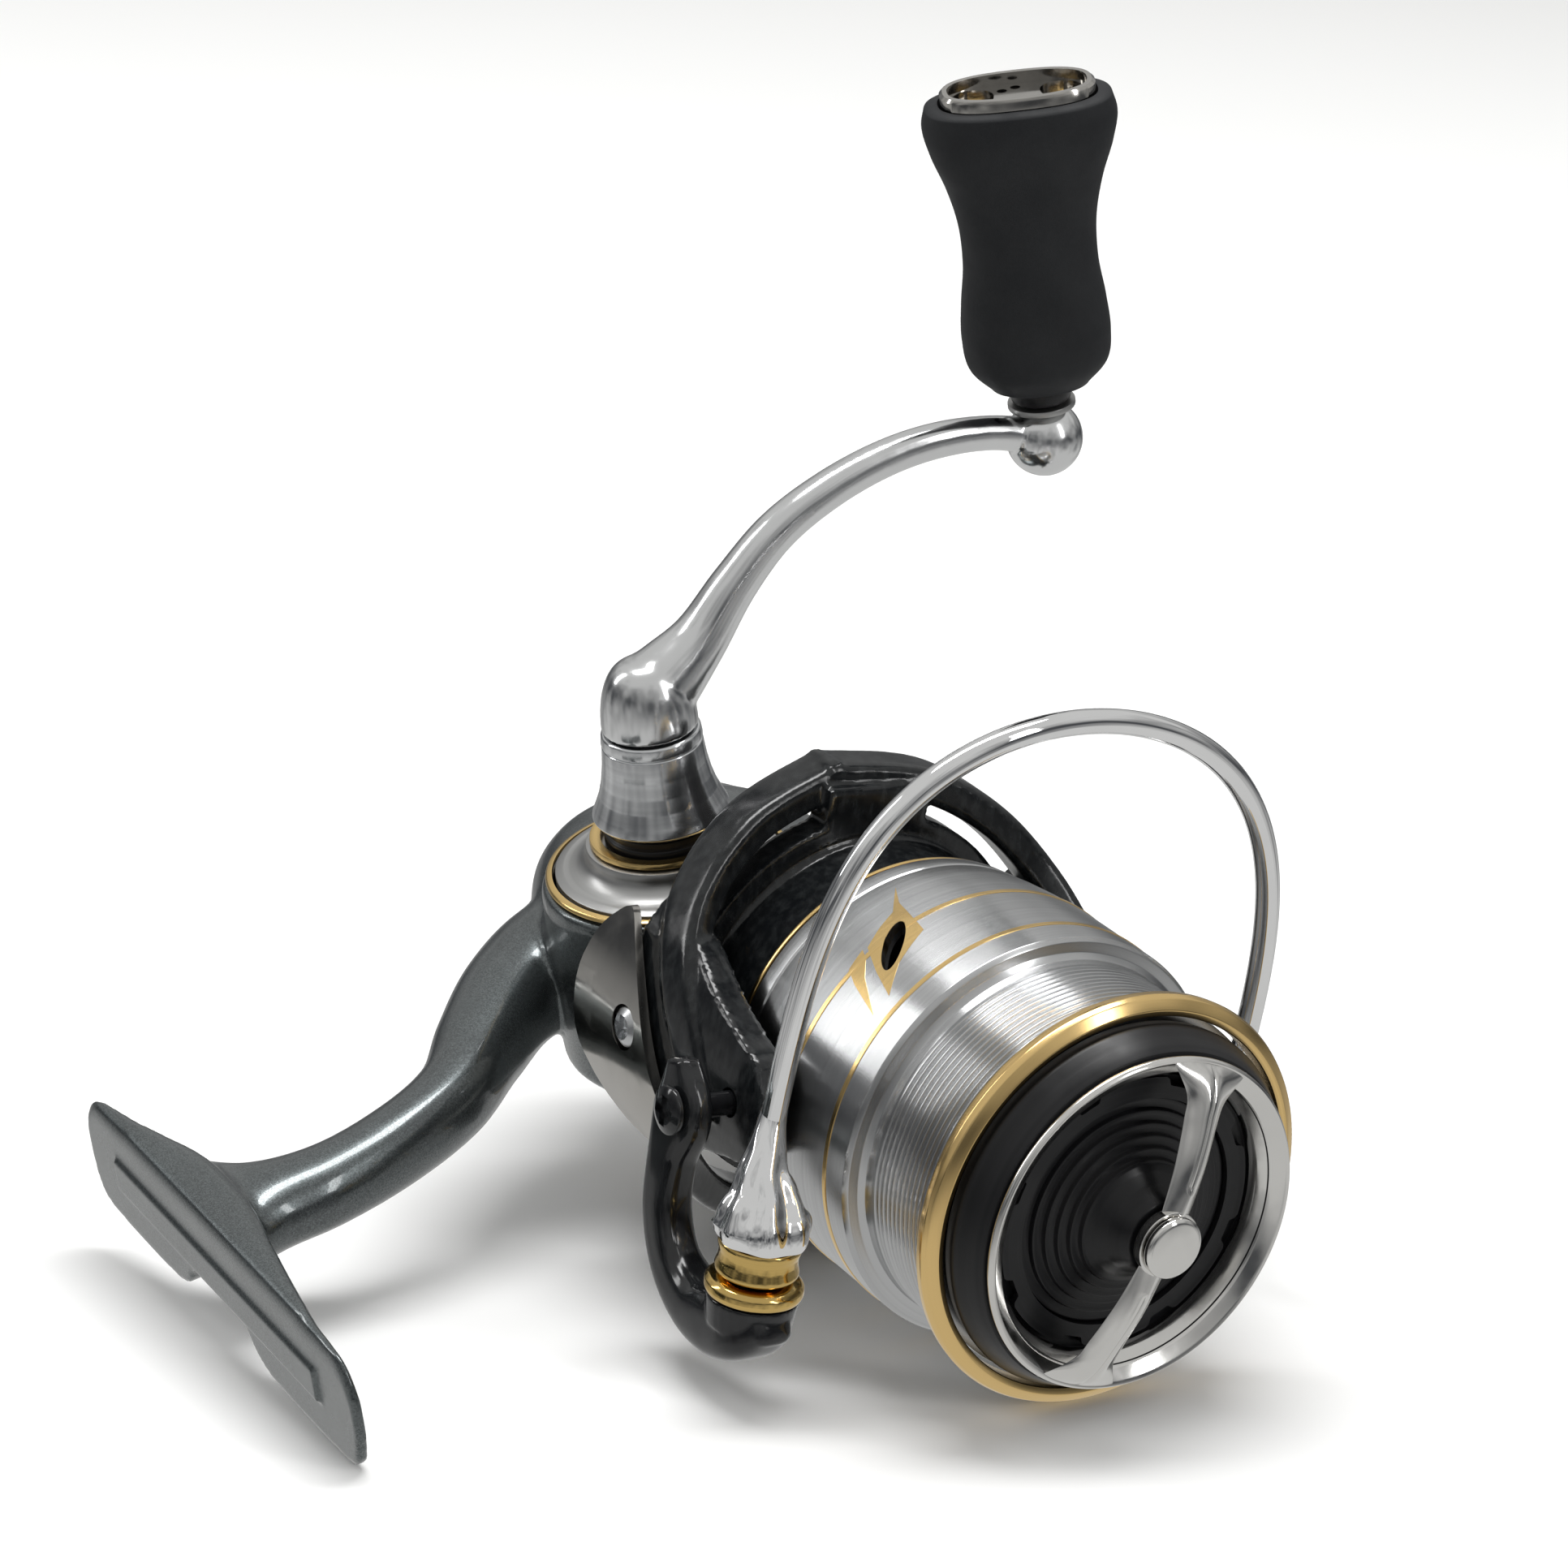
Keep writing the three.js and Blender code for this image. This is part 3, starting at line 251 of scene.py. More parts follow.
def block(low, high):
    """Box between two corners."""
    return prism([(low[1], low[2]), (high[1], low[2]), (high[1], high[2]), (low[1], high[2])],
                 low[0], high[0], "x")


def shifted(shape, x=0.0, y=0.0, z=0.0):
    return shape[0] + np.array([x, y, z]), shape[1]


def turned(shape, degrees, axis="X"):
    rotation = np.array(Matrix.Rotation(math.radians(degrees), 3, axis))
    return shape[0] @ rotation.T, shape[1]


def mirrored(shape, axis):
    points = shape[0].copy()
    points[:, axis] *= -1
    return points, shape[1]


def together(shapes):
    """Several shapes as one list of points and faces."""
    points, faces = [], []
    for more_points, more_faces in shapes:
        faces += [tuple(i + len(points) for i in face) for face in more_faces]
        points.extend(more_points)
    return np.array(points), faces


# ---- mesh tools
def mesh_of(shape, scale=1.0):
    points, faces = shape
    mesh = bpy.data.meshes.new("draft")
    mesh.from_pydata([tuple(p * scale) for p in points], [], faces)
    edit = bmesh.new()
    edit.from_mesh(mesh)
    bmesh.ops.remove_doubles(edit, verts=edit.verts, dist=1e-6)
    bmesh.ops.recalc_face_normals(edit, faces=edit.faces)
    edit.to_mesh(mesh)
    edit.free()
    return mesh


def scratch(shape):
    thing = bpy.data.objects.new("draft", mesh_of(shape))
    bpy.context.scene.collection.objects.link(thing)
    return thing


def taken(thing):
    """The evaluated mesh of a scratch object as a shape; the object is removed."""
    graph = bpy.context.evaluated_depsgraph_get()
    result = thing.evaluated_get(graph).to_mesh()
    points = np.empty(len(result.vertices) * 3)
    result.vertices.foreach_get("co", points)
    faces = [tuple(face.vertices) for face in result.polygons]
    thing.to_mesh_clear()
    bpy.data.objects.remove(thing)
    return points.reshape(-1, 3), faces


def combined(base, others, operation):
    """Boolean of a base shape with each of the others."""
    thing = scratch(base)
    helpers = [scratch(other) for other in others]
    for helper in helpers:
        step = thing.modifiers.new("step", "BOOLEAN")
        step.operation = operation
        step.object = helper
        step.solver = "MANIFOLD"
    result = taken(thing)
    for helper in helpers:
        bpy.data.objects.remove(helper)
    return result


def carved(base, *tools):
    return combined(base, tools, "DIFFERENCE")


def within(base, *tools):
    return combined(base, tools, "INTERSECT")


def fused(shapes, voxel, relax=0):
    """One cast skin over overlapping shapes, with softened inner corners."""
    thing = scratch(together(shapes))
    step = thing.modifiers.new("step", "REMESH")
    step.mode = "VOXEL"
    step.voxel_size = voxel
    points, faces = taken(thing)
    return relaxed(points, faces, relax), faces


def neighbour_mean(faces, size):
    """A function that gives the mean place of each point's neighbours."""
    corners = np.array(faces)
    edges = np.concatenate([corners[:, [i, (i + 1) % corners.shape[1]]] for i in range(corners.shape[1])])
    count = np.bincount(edges.ravel(), minlength=size).astype(float)

    def mean(points):
        total = np.zeros_like(points)
        for k in range(3):
            total[:, k] = (np.bincount(edges[:, 0], points[edges[:, 1], k], size)
                           + np.bincount(edges[:, 1], points[edges[:, 0], k], size))
        return total / count[:, None]

    return mean


def relaxed(points, faces, passes):
    """Smoothing with a counter step, so that the solid keeps its size."""
    mean = neighbour_mean(faces, len(points))
    for _ in range(passes):
        for strength in (0.6, -0.55):
            points = points + strength * (mean(points) - points)
    return points


def melted(shape, passes, weight):
    """Plain smoothing where weight says, for wide fillets."""
    points, faces = shape
    mean = neighbour_mean(faces, len(points))
    share = weight(points)
    for _ in range(passes):
        points = points + (0.7 * share)[:, None] * (mean(points) - points)
    return points, faces


def make(name, shape, place, body, material, stands_for=(), crease=32):
    """The finished piece: placed, riding on its body, and standing for its CAD nodes."""
    mesh = mesh_of(shape, MM)
    mesh.name = name
    mesh.materials.append(material)
    thing = bpy.data.objects.new(name, mesh)
    bpy.context.scene.collection.objects.link(thing)
    thing.matrix_world = place
    mesh.shade_smooth()
    mesh.set_sharp_from_angle(angle=math.radians(crease))
    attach(thing, body)
    if stands_for:
        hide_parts(*stands_for)
    return thing


# ---- materials
class Look:
    """A Principled material, with short calls that add procedural detail. Sizes are in millimetres."""

    def __init__(self, name, color, metallic, roughness, **sockets):
        self.material = bpy.data.materials.new(name)
        self.material.use_nodes = True
        self.tree = self.material.node_tree
        self.shader = self.tree.nodes["Principled BSDF"]
        self.shader.inputs["Base Color"].default_value = (*color, 1)
        self.shader.inputs["Metallic"].default_value = metallic
        self.shader.inputs["Roughness"].default_value = roughness
        for key, value in sockets.items():
            self.shader.inputs[key.replace("_", " ").title().replace("Ior", "IOR")].default_value = value
        self.place = self.node("ShaderNodeTexCoord").outputs["Object"]

    def node(self, kind, **settings):
        node = self.tree.nodes.new(kind)
        for key, value in settings.items():
            setattr(node, key, value)
        return node

    def join(self, output, target):
        self.tree.links.new(output, target)

    def math(self, operation, first, second=0.0):
        node = self.node("ShaderNodeMath", operation=operation)
        for socket, value in zip(node.inputs, (first, second)):
            if isinstance(value, (int, float)):
                socket.default_value = value
            else:
                self.join(value, socket)
        return node.outputs[0]

    def noise(self, size, detail=2.0, stretch=(1, 1, 1)):
        """Soft noise with features of about this size, stretched along the object's axes."""
        spread = self.node("ShaderNodeMapping")
        spread.inputs["Scale"].default_value = [1 / (size * MM * s) for s in stretch]
        self.join(self.place, spread.inputs["Vector"])
        node = self.node("ShaderNodeTexNoise")
        node.inputs["Scale"].default_value = 1.0
        node.inputs["Detail"].default_value = detail
        self.join(spread.outputs["Vector"], node.inputs["Vector"])
        return node.outputs["Fac"]

    def flakes(self, size):
        """One random value for each cell of this size."""
        node = self.node("ShaderNodeTexVoronoi")
        node.inputs["Scale"].default_value = 1 / (size * MM)
        self.join(self.place, node.inputs["Vector"])
        parts = self.node("ShaderNodeSeparateColor")
        self.join(node.outputs["Color"], parts.inputs["Color"])
        return parts.outputs[0]

    def rings(self, size, axis):
        """Noise that only changes along an axis and outwards from it, as turning marks do."""
        split = self.node("ShaderNodeSeparateXYZ")
        self.join(self.place, split.inputs["Vector"])
        along, second, third = [split.outputs[k] for k in AXES[axis]]
        radius = self.math("SQRT", self.math("ADD", self.math("POWER", second, 2.0),
                                             self.math("POWER", third, 2.0)))
        node = self.node("ShaderNodeTexNoise", noise_dimensions="1D")
        node.inputs["Scale"].default_value = 1 / (size * MM)
        node.inputs["Detail"].default_value = 3.0
        self.join(self.math("ADD", along, radius), node.inputs["W"])
        return node.outputs["Fac"]

    def between(self, value, low, high, start=0.3, end=0.7):
        node = self.node("ShaderNodeMapRange")
        node.inputs["From Min"].default_value = start
        node.inputs["From Max"].default_value = end
        node.inputs["To Min"].default_value = low
        node.inputs["To Max"].default_value = high
        self.join(value, node.inputs["Value"])
        return node.outputs["Result"]

    def color_from(self, value, dark, light, start=0.3, end=0.7):
        node = self.node("ShaderNodeMix", data_type="RGBA")
        node.inputs["A"].default_value = (*dark, 1)
        node.inputs["B"].default_value = (*light, 1)
        self.join(self.between(value, 0, 1, start, end), node.inputs["Factor"])
        self.join(node.outputs["Result"], self.shader.inputs["Base Color"])

    def roughness_from(self, value, low, high, start=0.3, end=0.7):
        self.join(self.between(value, low, high, start, end), self.shader.inputs["Roughness"])

    def bump(self, value, height):
        node = self.node("ShaderNodeBump")
        node.inputs["Distance"].default_value = height * MM
        self.join(value, node.inputs["Height"])
        self.join(node.outputs["Normal"], self.shader.inputs["Normal"])

    def spun(self, amount, axis):
        """Highlights drawn out across the turning marks of a turned surface."""
        self.shader.inputs["Anisotropic"].default_value = amount
        self.shader.inputs["Anisotropic Rotation"].default_value = 0.25
        tangent = self.node("ShaderNodeTangent", direction_type="RADIAL", axis=axis.upper())
        self.join(tangent.outputs["Tangent"], self.shader.inputs["Tangent"])


def metal_paint():
    look = Look("gunmetal_paint", (0.10, 0.115, 0.12), 0.8, 0.34, coat_weight=0.7, coat_roughness=0.05)
    look.color_from(look.flakes(0.12), (0.062, 0.071, 0.073), (0.135, 0.152, 0.155), 0.1, 1.0)
    look.roughness_from(look.noise(9.0, 3.0), 0.24, 0.32)
    look.bump(look.noise(0.5, 2.0), 0.004)
    return look.material


def gloss_black():
    look = Look("gloss_black", (0.008, 0.009, 0.01), 0.0, 0.2, specular_ior_level=0.45)
    look.color_from(look.noise(0.9, 5.0, (1, 1, 2)), (0.006, 0.007, 0.008), (0.018, 0.020, 0.021), 0.45, 0.7)
    look.roughness_from(look.noise(2.2, 4.0), 0.10, 0.24)
    look.bump(look.noise(0.45, 3.0), 0.004)
    return look.material


def smooth_black():
    look = Look("lever_black", (0.008, 0.008, 0.009), 0.0, 0.12, specular_ior_level=0.5)
    look.color_from(look.noise(3.0, 3.0), (0.006, 0.006, 0.007), (0.012, 0.013, 0.014))
    look.roughness_from(look.noise(5.0, 4.0), 0.07, 0.16)
    look.bump(look.noise(1.2, 2.0), 0.002)
    return look.material


def soft_black():
    look = Look("grip_black", (0.017, 0.018, 0.02), 0.0, 0.62, specular_ior_level=0.3)
    look.color_from(look.noise(6.0, 4.0), (0.009, 0.010, 0.012), (0.013, 0.014, 0.016))
    look.roughness_from(look.noise(4.0, 3.0), 0.55, 0.7)
    look.bump(look.noise(0.16, 2.0), 0.008)
    return look.material


def turned_black(axis):
    look = Look("matte_black_" + axis, (0.008, 0.008, 0.009), 0.0, 0.34, specular_ior_level=0.3)
    look.color_from(look.rings(0.5, axis), (0.006, 0.006, 0.007), (0.010, 0.010, 0.011))
    look.roughness_from(look.noise(3.0, 3.0), 0.28, 0.38)
    look.bump(look.rings(0.18, axis), 0.004)
    return look.material


def turned_metal(name, color, roughness, axis, spin=0.55, mark=0.16, height=0.0035):
    look = Look(name, color, 1.0, roughness)
    dark = tuple(0.93 * c for c in color)
    light = tuple(min(1.0, 1.05 * c) for c in color)
    look.color_from(look.rings(0.6, axis), dark, light)
    look.roughness_from(look.noise(12.0, 1.0), roughness * 0.95, roughness * 1.06)
    look.bump(look.rings(mark, axis), height)
    if spin:
        look.spun(spin, axis)
    return look.material


def polished_metal(name, color, roughness, blemish=1.35):
    look = Look(name, color, 1.0, roughness)
    look.color_from(look.noise(7.0, 3.0), tuple(0.95 * c for c in color), color)
    look.roughness_from(look.noise(2.6, 5.0), roughness * 0.8, roughness * blemish, 0.35, 0.75)
    look.bump(look.noise(1.8, 2.0), 0.003)
    return look.material


def woven_black():
    look = Look("carbon_washer", (0.03, 0.03, 0.032), 0.0, 0.45)
    look.color_from(look.noise(0.5, 1.0, (1, 4, 1)), (0.02, 0.02, 0.021), (0.07, 0.07, 0.075))
    look.bump(look.noise(0.4, 1.0, (1, 1, 4)), 0.02)
    return look.material


PAINT = metal_paint()
ROTOR_BLACK = gloss_black()
LEVER_BLACK = smooth_black()
GRIP_BLACK = soft_black()
BLACK_X = turned_black("x")
BLACK_Z = turned_black("z")
SPOOL_METAL = turned_metal("spool_aluminium", (0.54, 0.545, 0.55), 0.24, "x", 0.8, 0.2, 0.0015)
COLLAR_METAL = turned_metal("collar_aluminium", (0.66, 0.67, 0.68), 0.18, "z", 0.75, 0.3, 0.001)
SATIN_Z = turned_metal("satin_aluminium", (0.42, 0.42, 0.415), 0.36, "z", 0.3, 0.2, 0.001)
ARM_METAL = polished_metal("arm_aluminium", (0.74, 0.745, 0.75), 0.17)
CHROME = polished_metal("bright_chrome", (0.86, 0.86, 0.865), 0.05)
NICKEL = polished_metal("knob_nickel", (0.74, 0.73, 0.71), 0.13, 1.8)
SMOKE = polished_metal("smoked_chrome", (0.46, 0.445, 0.42), 0.12, 1.8)
GOLD_X = turned_metal("gold_x", (0.82, 0.58, 0.25), 0.2, "x", 0.4)
GOLD_Z = turned_metal("gold_z", (0.80, 0.57, 0.24), 0.24, "z", 0.4)
ROLLER_GOLD = turned_metal("roller_gold", (0.66, 0.46, 0.16), 0.12, "z", 0.3)
BRASS = turned_metal("brass", (0.71, 0.53, 0.25), 0.3, "x", 0.0)
STEEL = polished_metal("ground_steel", (0.6, 0.61, 0.62), 0.28)
WASHER = woven_black()


# ---- body casting
def softened(corners, passes=2):
    """A corner list with its corners cut again and again, for rounded outlines."""
    points = [np.array(c, float) for c in corners]
    for _ in range(passes):
        cut = []
        for a, b in zip(points, points[1:] + points[:1]):
            cut += [0.8 * a + 0.2 * b, 0.2 * a + 0.8 * b]
        points = cut
    return points


FOOT_FACE, FOOT_REAR, FOOT_FRONT, FOOT_HALF = -78.0, -80.0, -16.0, 6.9
CAST_VOXEL = 0.36          # grain of the fused castings


def foot_slab():
    half, middle = FOOT_HALF, (FOOT_REAR + FOOT_FRONT) / 2
    plan = [
        (FOOT_REAR, -half * 0.5), (FOOT_REAR + 1.5, -half * 0.9), (FOOT_REAR + 5, -half),
        (middle - 12, -half), (middle - 8.5, -half + 1), (middle - 6.5, -half + 4.2),
        (middle + 5.5, -half + 4.2), (middle + 8, -half + 1.2), (middle + 11.5, -half),
        (FOOT_FRONT - 5, -half), (FOOT_FRONT - 1.2, -half * 0.9), (FOOT_FRONT, -half * 0.3),
        (FOOT_FRONT, half * 0.3), (FOOT_FRONT - 1.2, half * 0.9), (FOOT_FRONT - 5, half),
        (FOOT_REAR + 5, half), (FOOT_REAR + 1.5, half * 0.9), (FOOT_REAR, half * 0.5),
    ]
    top = [(0, 1.1), (8, 1.5), (16, 2.6), (25, 4.2), (32, 5.6), (44, 5.6), (53, 3.2), (64, 1.1)]
    rail = spline([(d, h, 0) for d, h in top], 40)
    side = [(FOOT_FRONT - d, FOOT_FACE + h) for d, h, _ in rail]
    side += [(FOOT_REAR, FOOT_FACE), (FOOT_FRONT, FOOT_FACE)]
    slab = prism([(z, x) for x, z in softened(plan)], FOOT_FACE - 1, FOOT_FACE + 8, "y")
    return within(slab, prism(side, -10, 10, "z"))


def casting():
    """Gearbox, stem and foot as one cast piece."""
    blob = sweep([
        (-98.2, 0, 0, 3.5, 3), (-96.6, -0.5, 0, 8, 6.2), (-92.5, -0.8, 0, 12.4, 9.6),
        (-86, -2.4, 0, 16.4, 11.8), (-77, -3.8, 0, 18.4, 12.8), (-68, -3.6, 0, 18.6, 13),
        (-60, -2, 0, 17.4, 13), (-54.8, -0.5, 0, 15.5, 13),
    ], (0, 0, 1), sides=48, rows=60, power=2.5, caps=0.0)
    stem = sweep([
        (-80, -13, 0, 8.5, 7), (-79.5, -20, 0, 7.6, 6.6), (-76, -28, 0, 6, 6), (-69, -36, 0, 5, 5.4),
        (-61.6, -43.5, 0, 4, 4.7), (-57.2, -53, 0, 3.9, 4.4), (-55.4, -62, 0, 4.5, 4.2),
        (-56, -69, 0, 6.2, 4.2), (-57.2, -75, 0, 11.5, 4.4),
    ], (0, 0, 1), sides=40, rows=90, power=2.3, caps=0.1)
    boss = turned_piece([(-10.2, 0), (-10.2, 12.4), (-8.4, 14.2), (2, 14.5), (8, 14.4), (13, 14.2), (13, 0)],
                        0.5, 3, "z", 80, False)
    far_boss = turned_piece([(-14.5, 0), (-14.5, 9), (-6, 9), (-6, 0)], 0.5, 3, "z", 64, False)
    bosses = [shifted(boss, DRIVE.x, DRIVE.y), shifted(far_boss, DRIVE.x, DRIVE.y)]
    nose = rod(-56, -51.2, 11, "x", 64)
    strip = block((FOOT_REAR + 8, FOOT_FACE - 0.5, -1.85), (FOOT_FRONT - 8, FOOT_FACE + 0.5, 1.85))
    front_cut = block((-54.4, -40, -40), (-40, 40, 40))
    cast = fused([carved(blob, front_cut), stem, foot_slab(), *bosses, nose, strip], CAST_VOXEL, relax=2)
    hollow = [
        shifted(rod(-8.8, 14, 12.9, "z", 64), DRIVE.x, DRIVE.y),
        shifted(lathe([(-15, 0), (-15, 4.4), (-12.8, 4.4), (-12.8, 6.6), (-8, 6.6), (-8, 0)], "z", 48,
                      False), DRIVE.x, DRIVE.y),
        block((-90.3, -7, -6.3), (-57, 10.4, 6.3)),
        block((-70, 0, -5.4), (-57, 12.7, 5.4)),
        lathe([(-60, 0), (-60, 6.3), (-54.7, 6.3), (-54.7, 9.3), (-50, 9.3), (-50, 0)], "x", 48, False),
        rod(-110, -89, 5.4, "x", 48),
        prism([(-71.5, -63.5), (-64, -69.5), (-71.8, -71.8)], 2.6, 9, "z"),
    ]

    def shoulder(points):
        x, y, z = points.T
        at_body = np.exp(-((y + 17) / 5) ** 2) * (np.abs(z) < 14)
        at_foot = np.exp(-((y + 72) / 2.2) ** 2) * (np.abs(x + 57) < 18)
        at_boss = np.exp(-((z - 6.5) / 2.5) ** 2) * (np.hypot(x - DRIVE.x, y - DRIVE.y) > 14)
        return np.clip(at_body + 0.6 * at_foot + 0.7 * at_boss, 0, 1)

    return carved(melted(cast, 45, shoulder), *hollow)


def body_pieces():
    make("body_casting", casting(), REEL, "frame", PAINT, ["body_shell"], 50)
    cover = [(9.7, 7.3), (9.7, 12.5), (14, 12.5), (14.25, 11.6)]
    flare = [(14.25 + 2.1 * (1 - math.cos(a)), 11.6 - 2.7 * math.sin(a))
             for a in np.linspace(0.1, math.pi / 2, 12)]
    cover += flare + [(17, 8.75), (17, 5.3), (13.4, 5.3), (13.4, 7.3)]
    make("drive_side_cap", turned_piece(cover, 0.15, 2), DRIVE_FRAME, "frame", SATIN_Z,
         ["drive_cover"])
    ring = [(13.3, 12.85), (13.3, 13.7), (13.7, 13.5), (13.9, 12.85)]
    make("drive_side_ring", turned_piece(ring, 0.12, 2), DRIVE_FRAME, "frame", GOLD_Z,
         ["drive_cover_ring"])
    ring = [(17.3, 7), (17.3, 8.3), (17.9, 8.2), (17.9, 7)]
    make("drive_thin_ring", turned_piece(ring, 0.12, 2), DRIVE_FRAME, "frame", GOLD_Z,
         ["drive_trim_ring"])
    seal = [(17.3, 4.4), (17.3, 6.6), (18.4, 6.5), (18.6, 6.1), (19.4, 6.3), (19.4, 4.4)]
    make("drive_lip_seal", turned_piece(seal, 0.15, 2, "z", ROUND_SMALL), DRIVE_FRAME, "frame", BLACK_Z,
         ["drive_seal"])
    cap = [(-14.8, 0), (-14.8, 6.4), (-16.6, 6.4), (-17.4, 5.6), (-17.4, 3.4), (-16.6, 3.2), (-16.6, 0)]
    make("port_cap", turned_piece(cap, 0.2, 3, "z", 96, False), DRIVE_FRAME, "frame", BLACK_Z,
         ["handle_port_cap"])
    ring = [(-15.6, 6.7), (-15.6, 7.5), (-15.3, 7.8), (-14.8, 7.8), (-14.8, 6.7)]
    make("port_ring", turned_piece(ring, 0.1, 2, "z", 96), DRIVE_FRAME, "frame", GOLD_Z,
         ["handle_port_ring"])
    cap = [(-93, 0), (-93, 5.1), (-97.4, 5.1), (-98.6, 4.4), (-99.2, 2.6), (-99.4, 0)]
    make("rear_cap", turned_piece(cap, 0.4, 3, "x", 64, False), REEL, "frame", BLACK_X,
         ["rear_cover"])


# ---- handle and knob
def arm_casting():
    """Teardrop base, curved arm and ball end of the handle, as one polished piece."""
    dome = [(30.8, 0), (30.8, 5.3)]
    dome += [(30.8 + 8 * math.sin(a), 5.35 * math.cos(a) ** 0.62) for a in np.linspace(0.12, 1.5, 20)]
    dome += [(38.85, 0)]
    base = shifted(lathe(dome, "z", 72, False), DRIVE.x, DRIVE.y)
    arm = sweep([
        (-69, -11.4, 31, 4.4, 4.4), (-69, -10.2, 34, 4.5, 4.5), (-68.8, -7.4, 36, 4, 4),
        (-68.5, -3.6, 38.9, 3.1, 3.1), (-68.1, 1.4, 44.2, 2.5, 2.5), (-67.7, 7, 48.8, 2.25, 2.25),
        (-67.2, 13.9, 51.8, 2.1, 2.1), (-66.7, 21.5, 53.4, 2, 2), (-66.2, 28, 53.5, 1.95, 1.95),
        (-65.7, 34, 52.5, 1.9, 1.9), (-65.3, 38.6, 50.9, 2, 2),
    ], (1, 0, 0), sides=32, rows=120, power=2.3, caps=0.2)
    ball_outline = [(50 + 4.3 * math.sin(a), 4.3 * math.cos(a)) for a in np.linspace(-1.5, 0.94, 24)]
    ball_outline = [(45.7, 0)] + ball_outline + [(53.6, 2.5), (53.6, 0)]
    ball = shifted(lathe(ball_outline, "z", 64, False), KNOB.x, KNOB.y)
    under = shifted(rod(20, 30.8, 9, "z"), DRIVE.x, DRIVE.y)
    return melted(fused([carved(arm, under), base, ball], 0.24, relax=4), 6,
                  lambda p: 0.8 * (p[:, 2] > 31.6))


def knob_oval(wide, deep, low, high, corner=0.35):
    """Upright oval column with rounded rims."""
    levels = [(low, 1 - corner / wide), (low + corner, 1), (high - corner, 1), (high, 1 - corner / wide)]
    x, y = superellipse(np.linspace(0, 2 * math.pi, 96, endpoint=False), 2.5)
    return skin([np.stack([x * wide * scale, y * deep * scale, np.full(96, z)], 1) for z, scale in levels])


def handle_pieces():
    make("arm", arm_casting(), REEL, "handle", ARM_METAL, ["handle_arm"], 60)
    flare = [(20.1, 7.3), (20.55, 7.6), (21.6, 7.12), (23, 6.55), (24.6, 6.12), (26.5, 5.8), (28.9, 5.56)]
    collar = [(20.1, 3.2)] + flare + [(29.0, 5.36), (29.15, 5.36), (29.25, 5.62), (30.3, 5.5),
                                      (30.5, 5.3), (30.5, 3.2)]
    make("collar", turned_piece(collar, 0.1, 2), DRIVE_FRAME, "handle", COLLAR_METAL,
         ["handle_collar"])
    arm_end = moved(REEL, KNOB.x, KNOB.y)
    spacer = [(53.9, 2.3), (53.9, 3.75), (54.6, 3.75), (54.6, 2.3)]
    make("knob_spacer", turned_piece(spacer, 0.12, 2, "z", ROUND_SMALL), arm_end, "handle", SATIN_Z,
         ["knob_washer"])
    neck = [(53.9, 0), (53.9, 2), (54.9, 2), (54.9, 3.3), (56.2, 3.5), (59, 3.2), (59, 2), (81, 2), (81, 0)]
    make("knob_neck", turned_piece(neck, 0.15, 2, "z", ROUND_SMALL, False), arm_end, "handle", BLACK_Z,
         ["knob_post"])


def knob_pieces():
    grip = sweep([
        (0, 0, 57.2, 5.6, 5.1), (0, 0, 59.4, 7.6, 6.5), (0, 0, 62.5, 8.15, 6.8), (0, 0, 66.5, 7.9, 6.6),
        (0, 0, 71, 7.35, 6.1), (0, 0, 76, 7.5, 5.8), (0, 0, 80.5, 8.5, 5.9), (0, 0, 84.5, 9.9, 6.3),
        (0, 0, 87.6, 10.5, 6.5), (0, 0, 89.4, 10.1, 6.2),
    ], (0, 1, 0), sides=96, rows=110, power=2.4, caps=0.16)
    bore = lathe([(50, 0), (50, 3.9), (60.8, 3.9), (60.8, 3.4), (79.4, 3.4), (79.4, 3.9), (95, 3.9),
                  (95, 0)], "z", 48, False)
    make("grip", carved(grip, bore, knob_oval(8.6, 5.0, 86.6, 95)), KNOB_FRAME, "handle_knob", GRIP_BLACK,
         ["knob_grip"], 45)
    rim = carved(knob_oval(8.35, 4.75, 86.9, 91.2), knob_oval(7.5, 3.9, 88.2, 95))
    windows = [shifted(turned(knob_oval(2.3, 2.9, 80, 95), 14 * side, "Z"), 4.9 * side) for side in (-1, 1)]
    plate = carved(knob_oval(7.9, 4.3, 87.1, 90.0), *windows)
    small = [shifted(rod(80, 95, 0.55, "z"), x, y) for x, y in ((-1.5, 1.7), (1.5, -1.7), (0, 2.4))]
    plate = carved(plate, *small)
    make("grip_cap", combined(rim, [plate], "UNION"), KNOB_FRAME, "handle_knob", SMOKE,
         ["knob_end_cap"], 40)
    for label, side in (("left", -1), ("right", 1)):
        head = turned_piece([(86.9, 0), (86.9, 1.7), (88.0, 1.7), (88.4, 1.2), (88.4, 0)], 0.15, 2,
                            "z", 48, False)
        cross = [turned(block((-1.2, -0.22, 87.9), (1.2, 0.22, 89)), a, "Z") for a in (20, 110)]
        make("cap_screw_" + label, shifted(carved(head, *cross), 4.9 * side), KNOB_FRAME, "handle_knob",
             GOLD_Z)


# ---- rotor
ARM_OUT = 27.0
COVER_SCREW_X = -50.5
LEAF = [(-61.5, -5.5), (-62, 2), (-60, 8), (-56.4, 11.8), (-54.4, 10.6), (-49.2, 5.2), (-45.2, -0.6),
        (-42.2, -5), (-39.5, -9.6), (-43, -11), (-50, -11.3), (-56, -9.5)]      # (x, z)
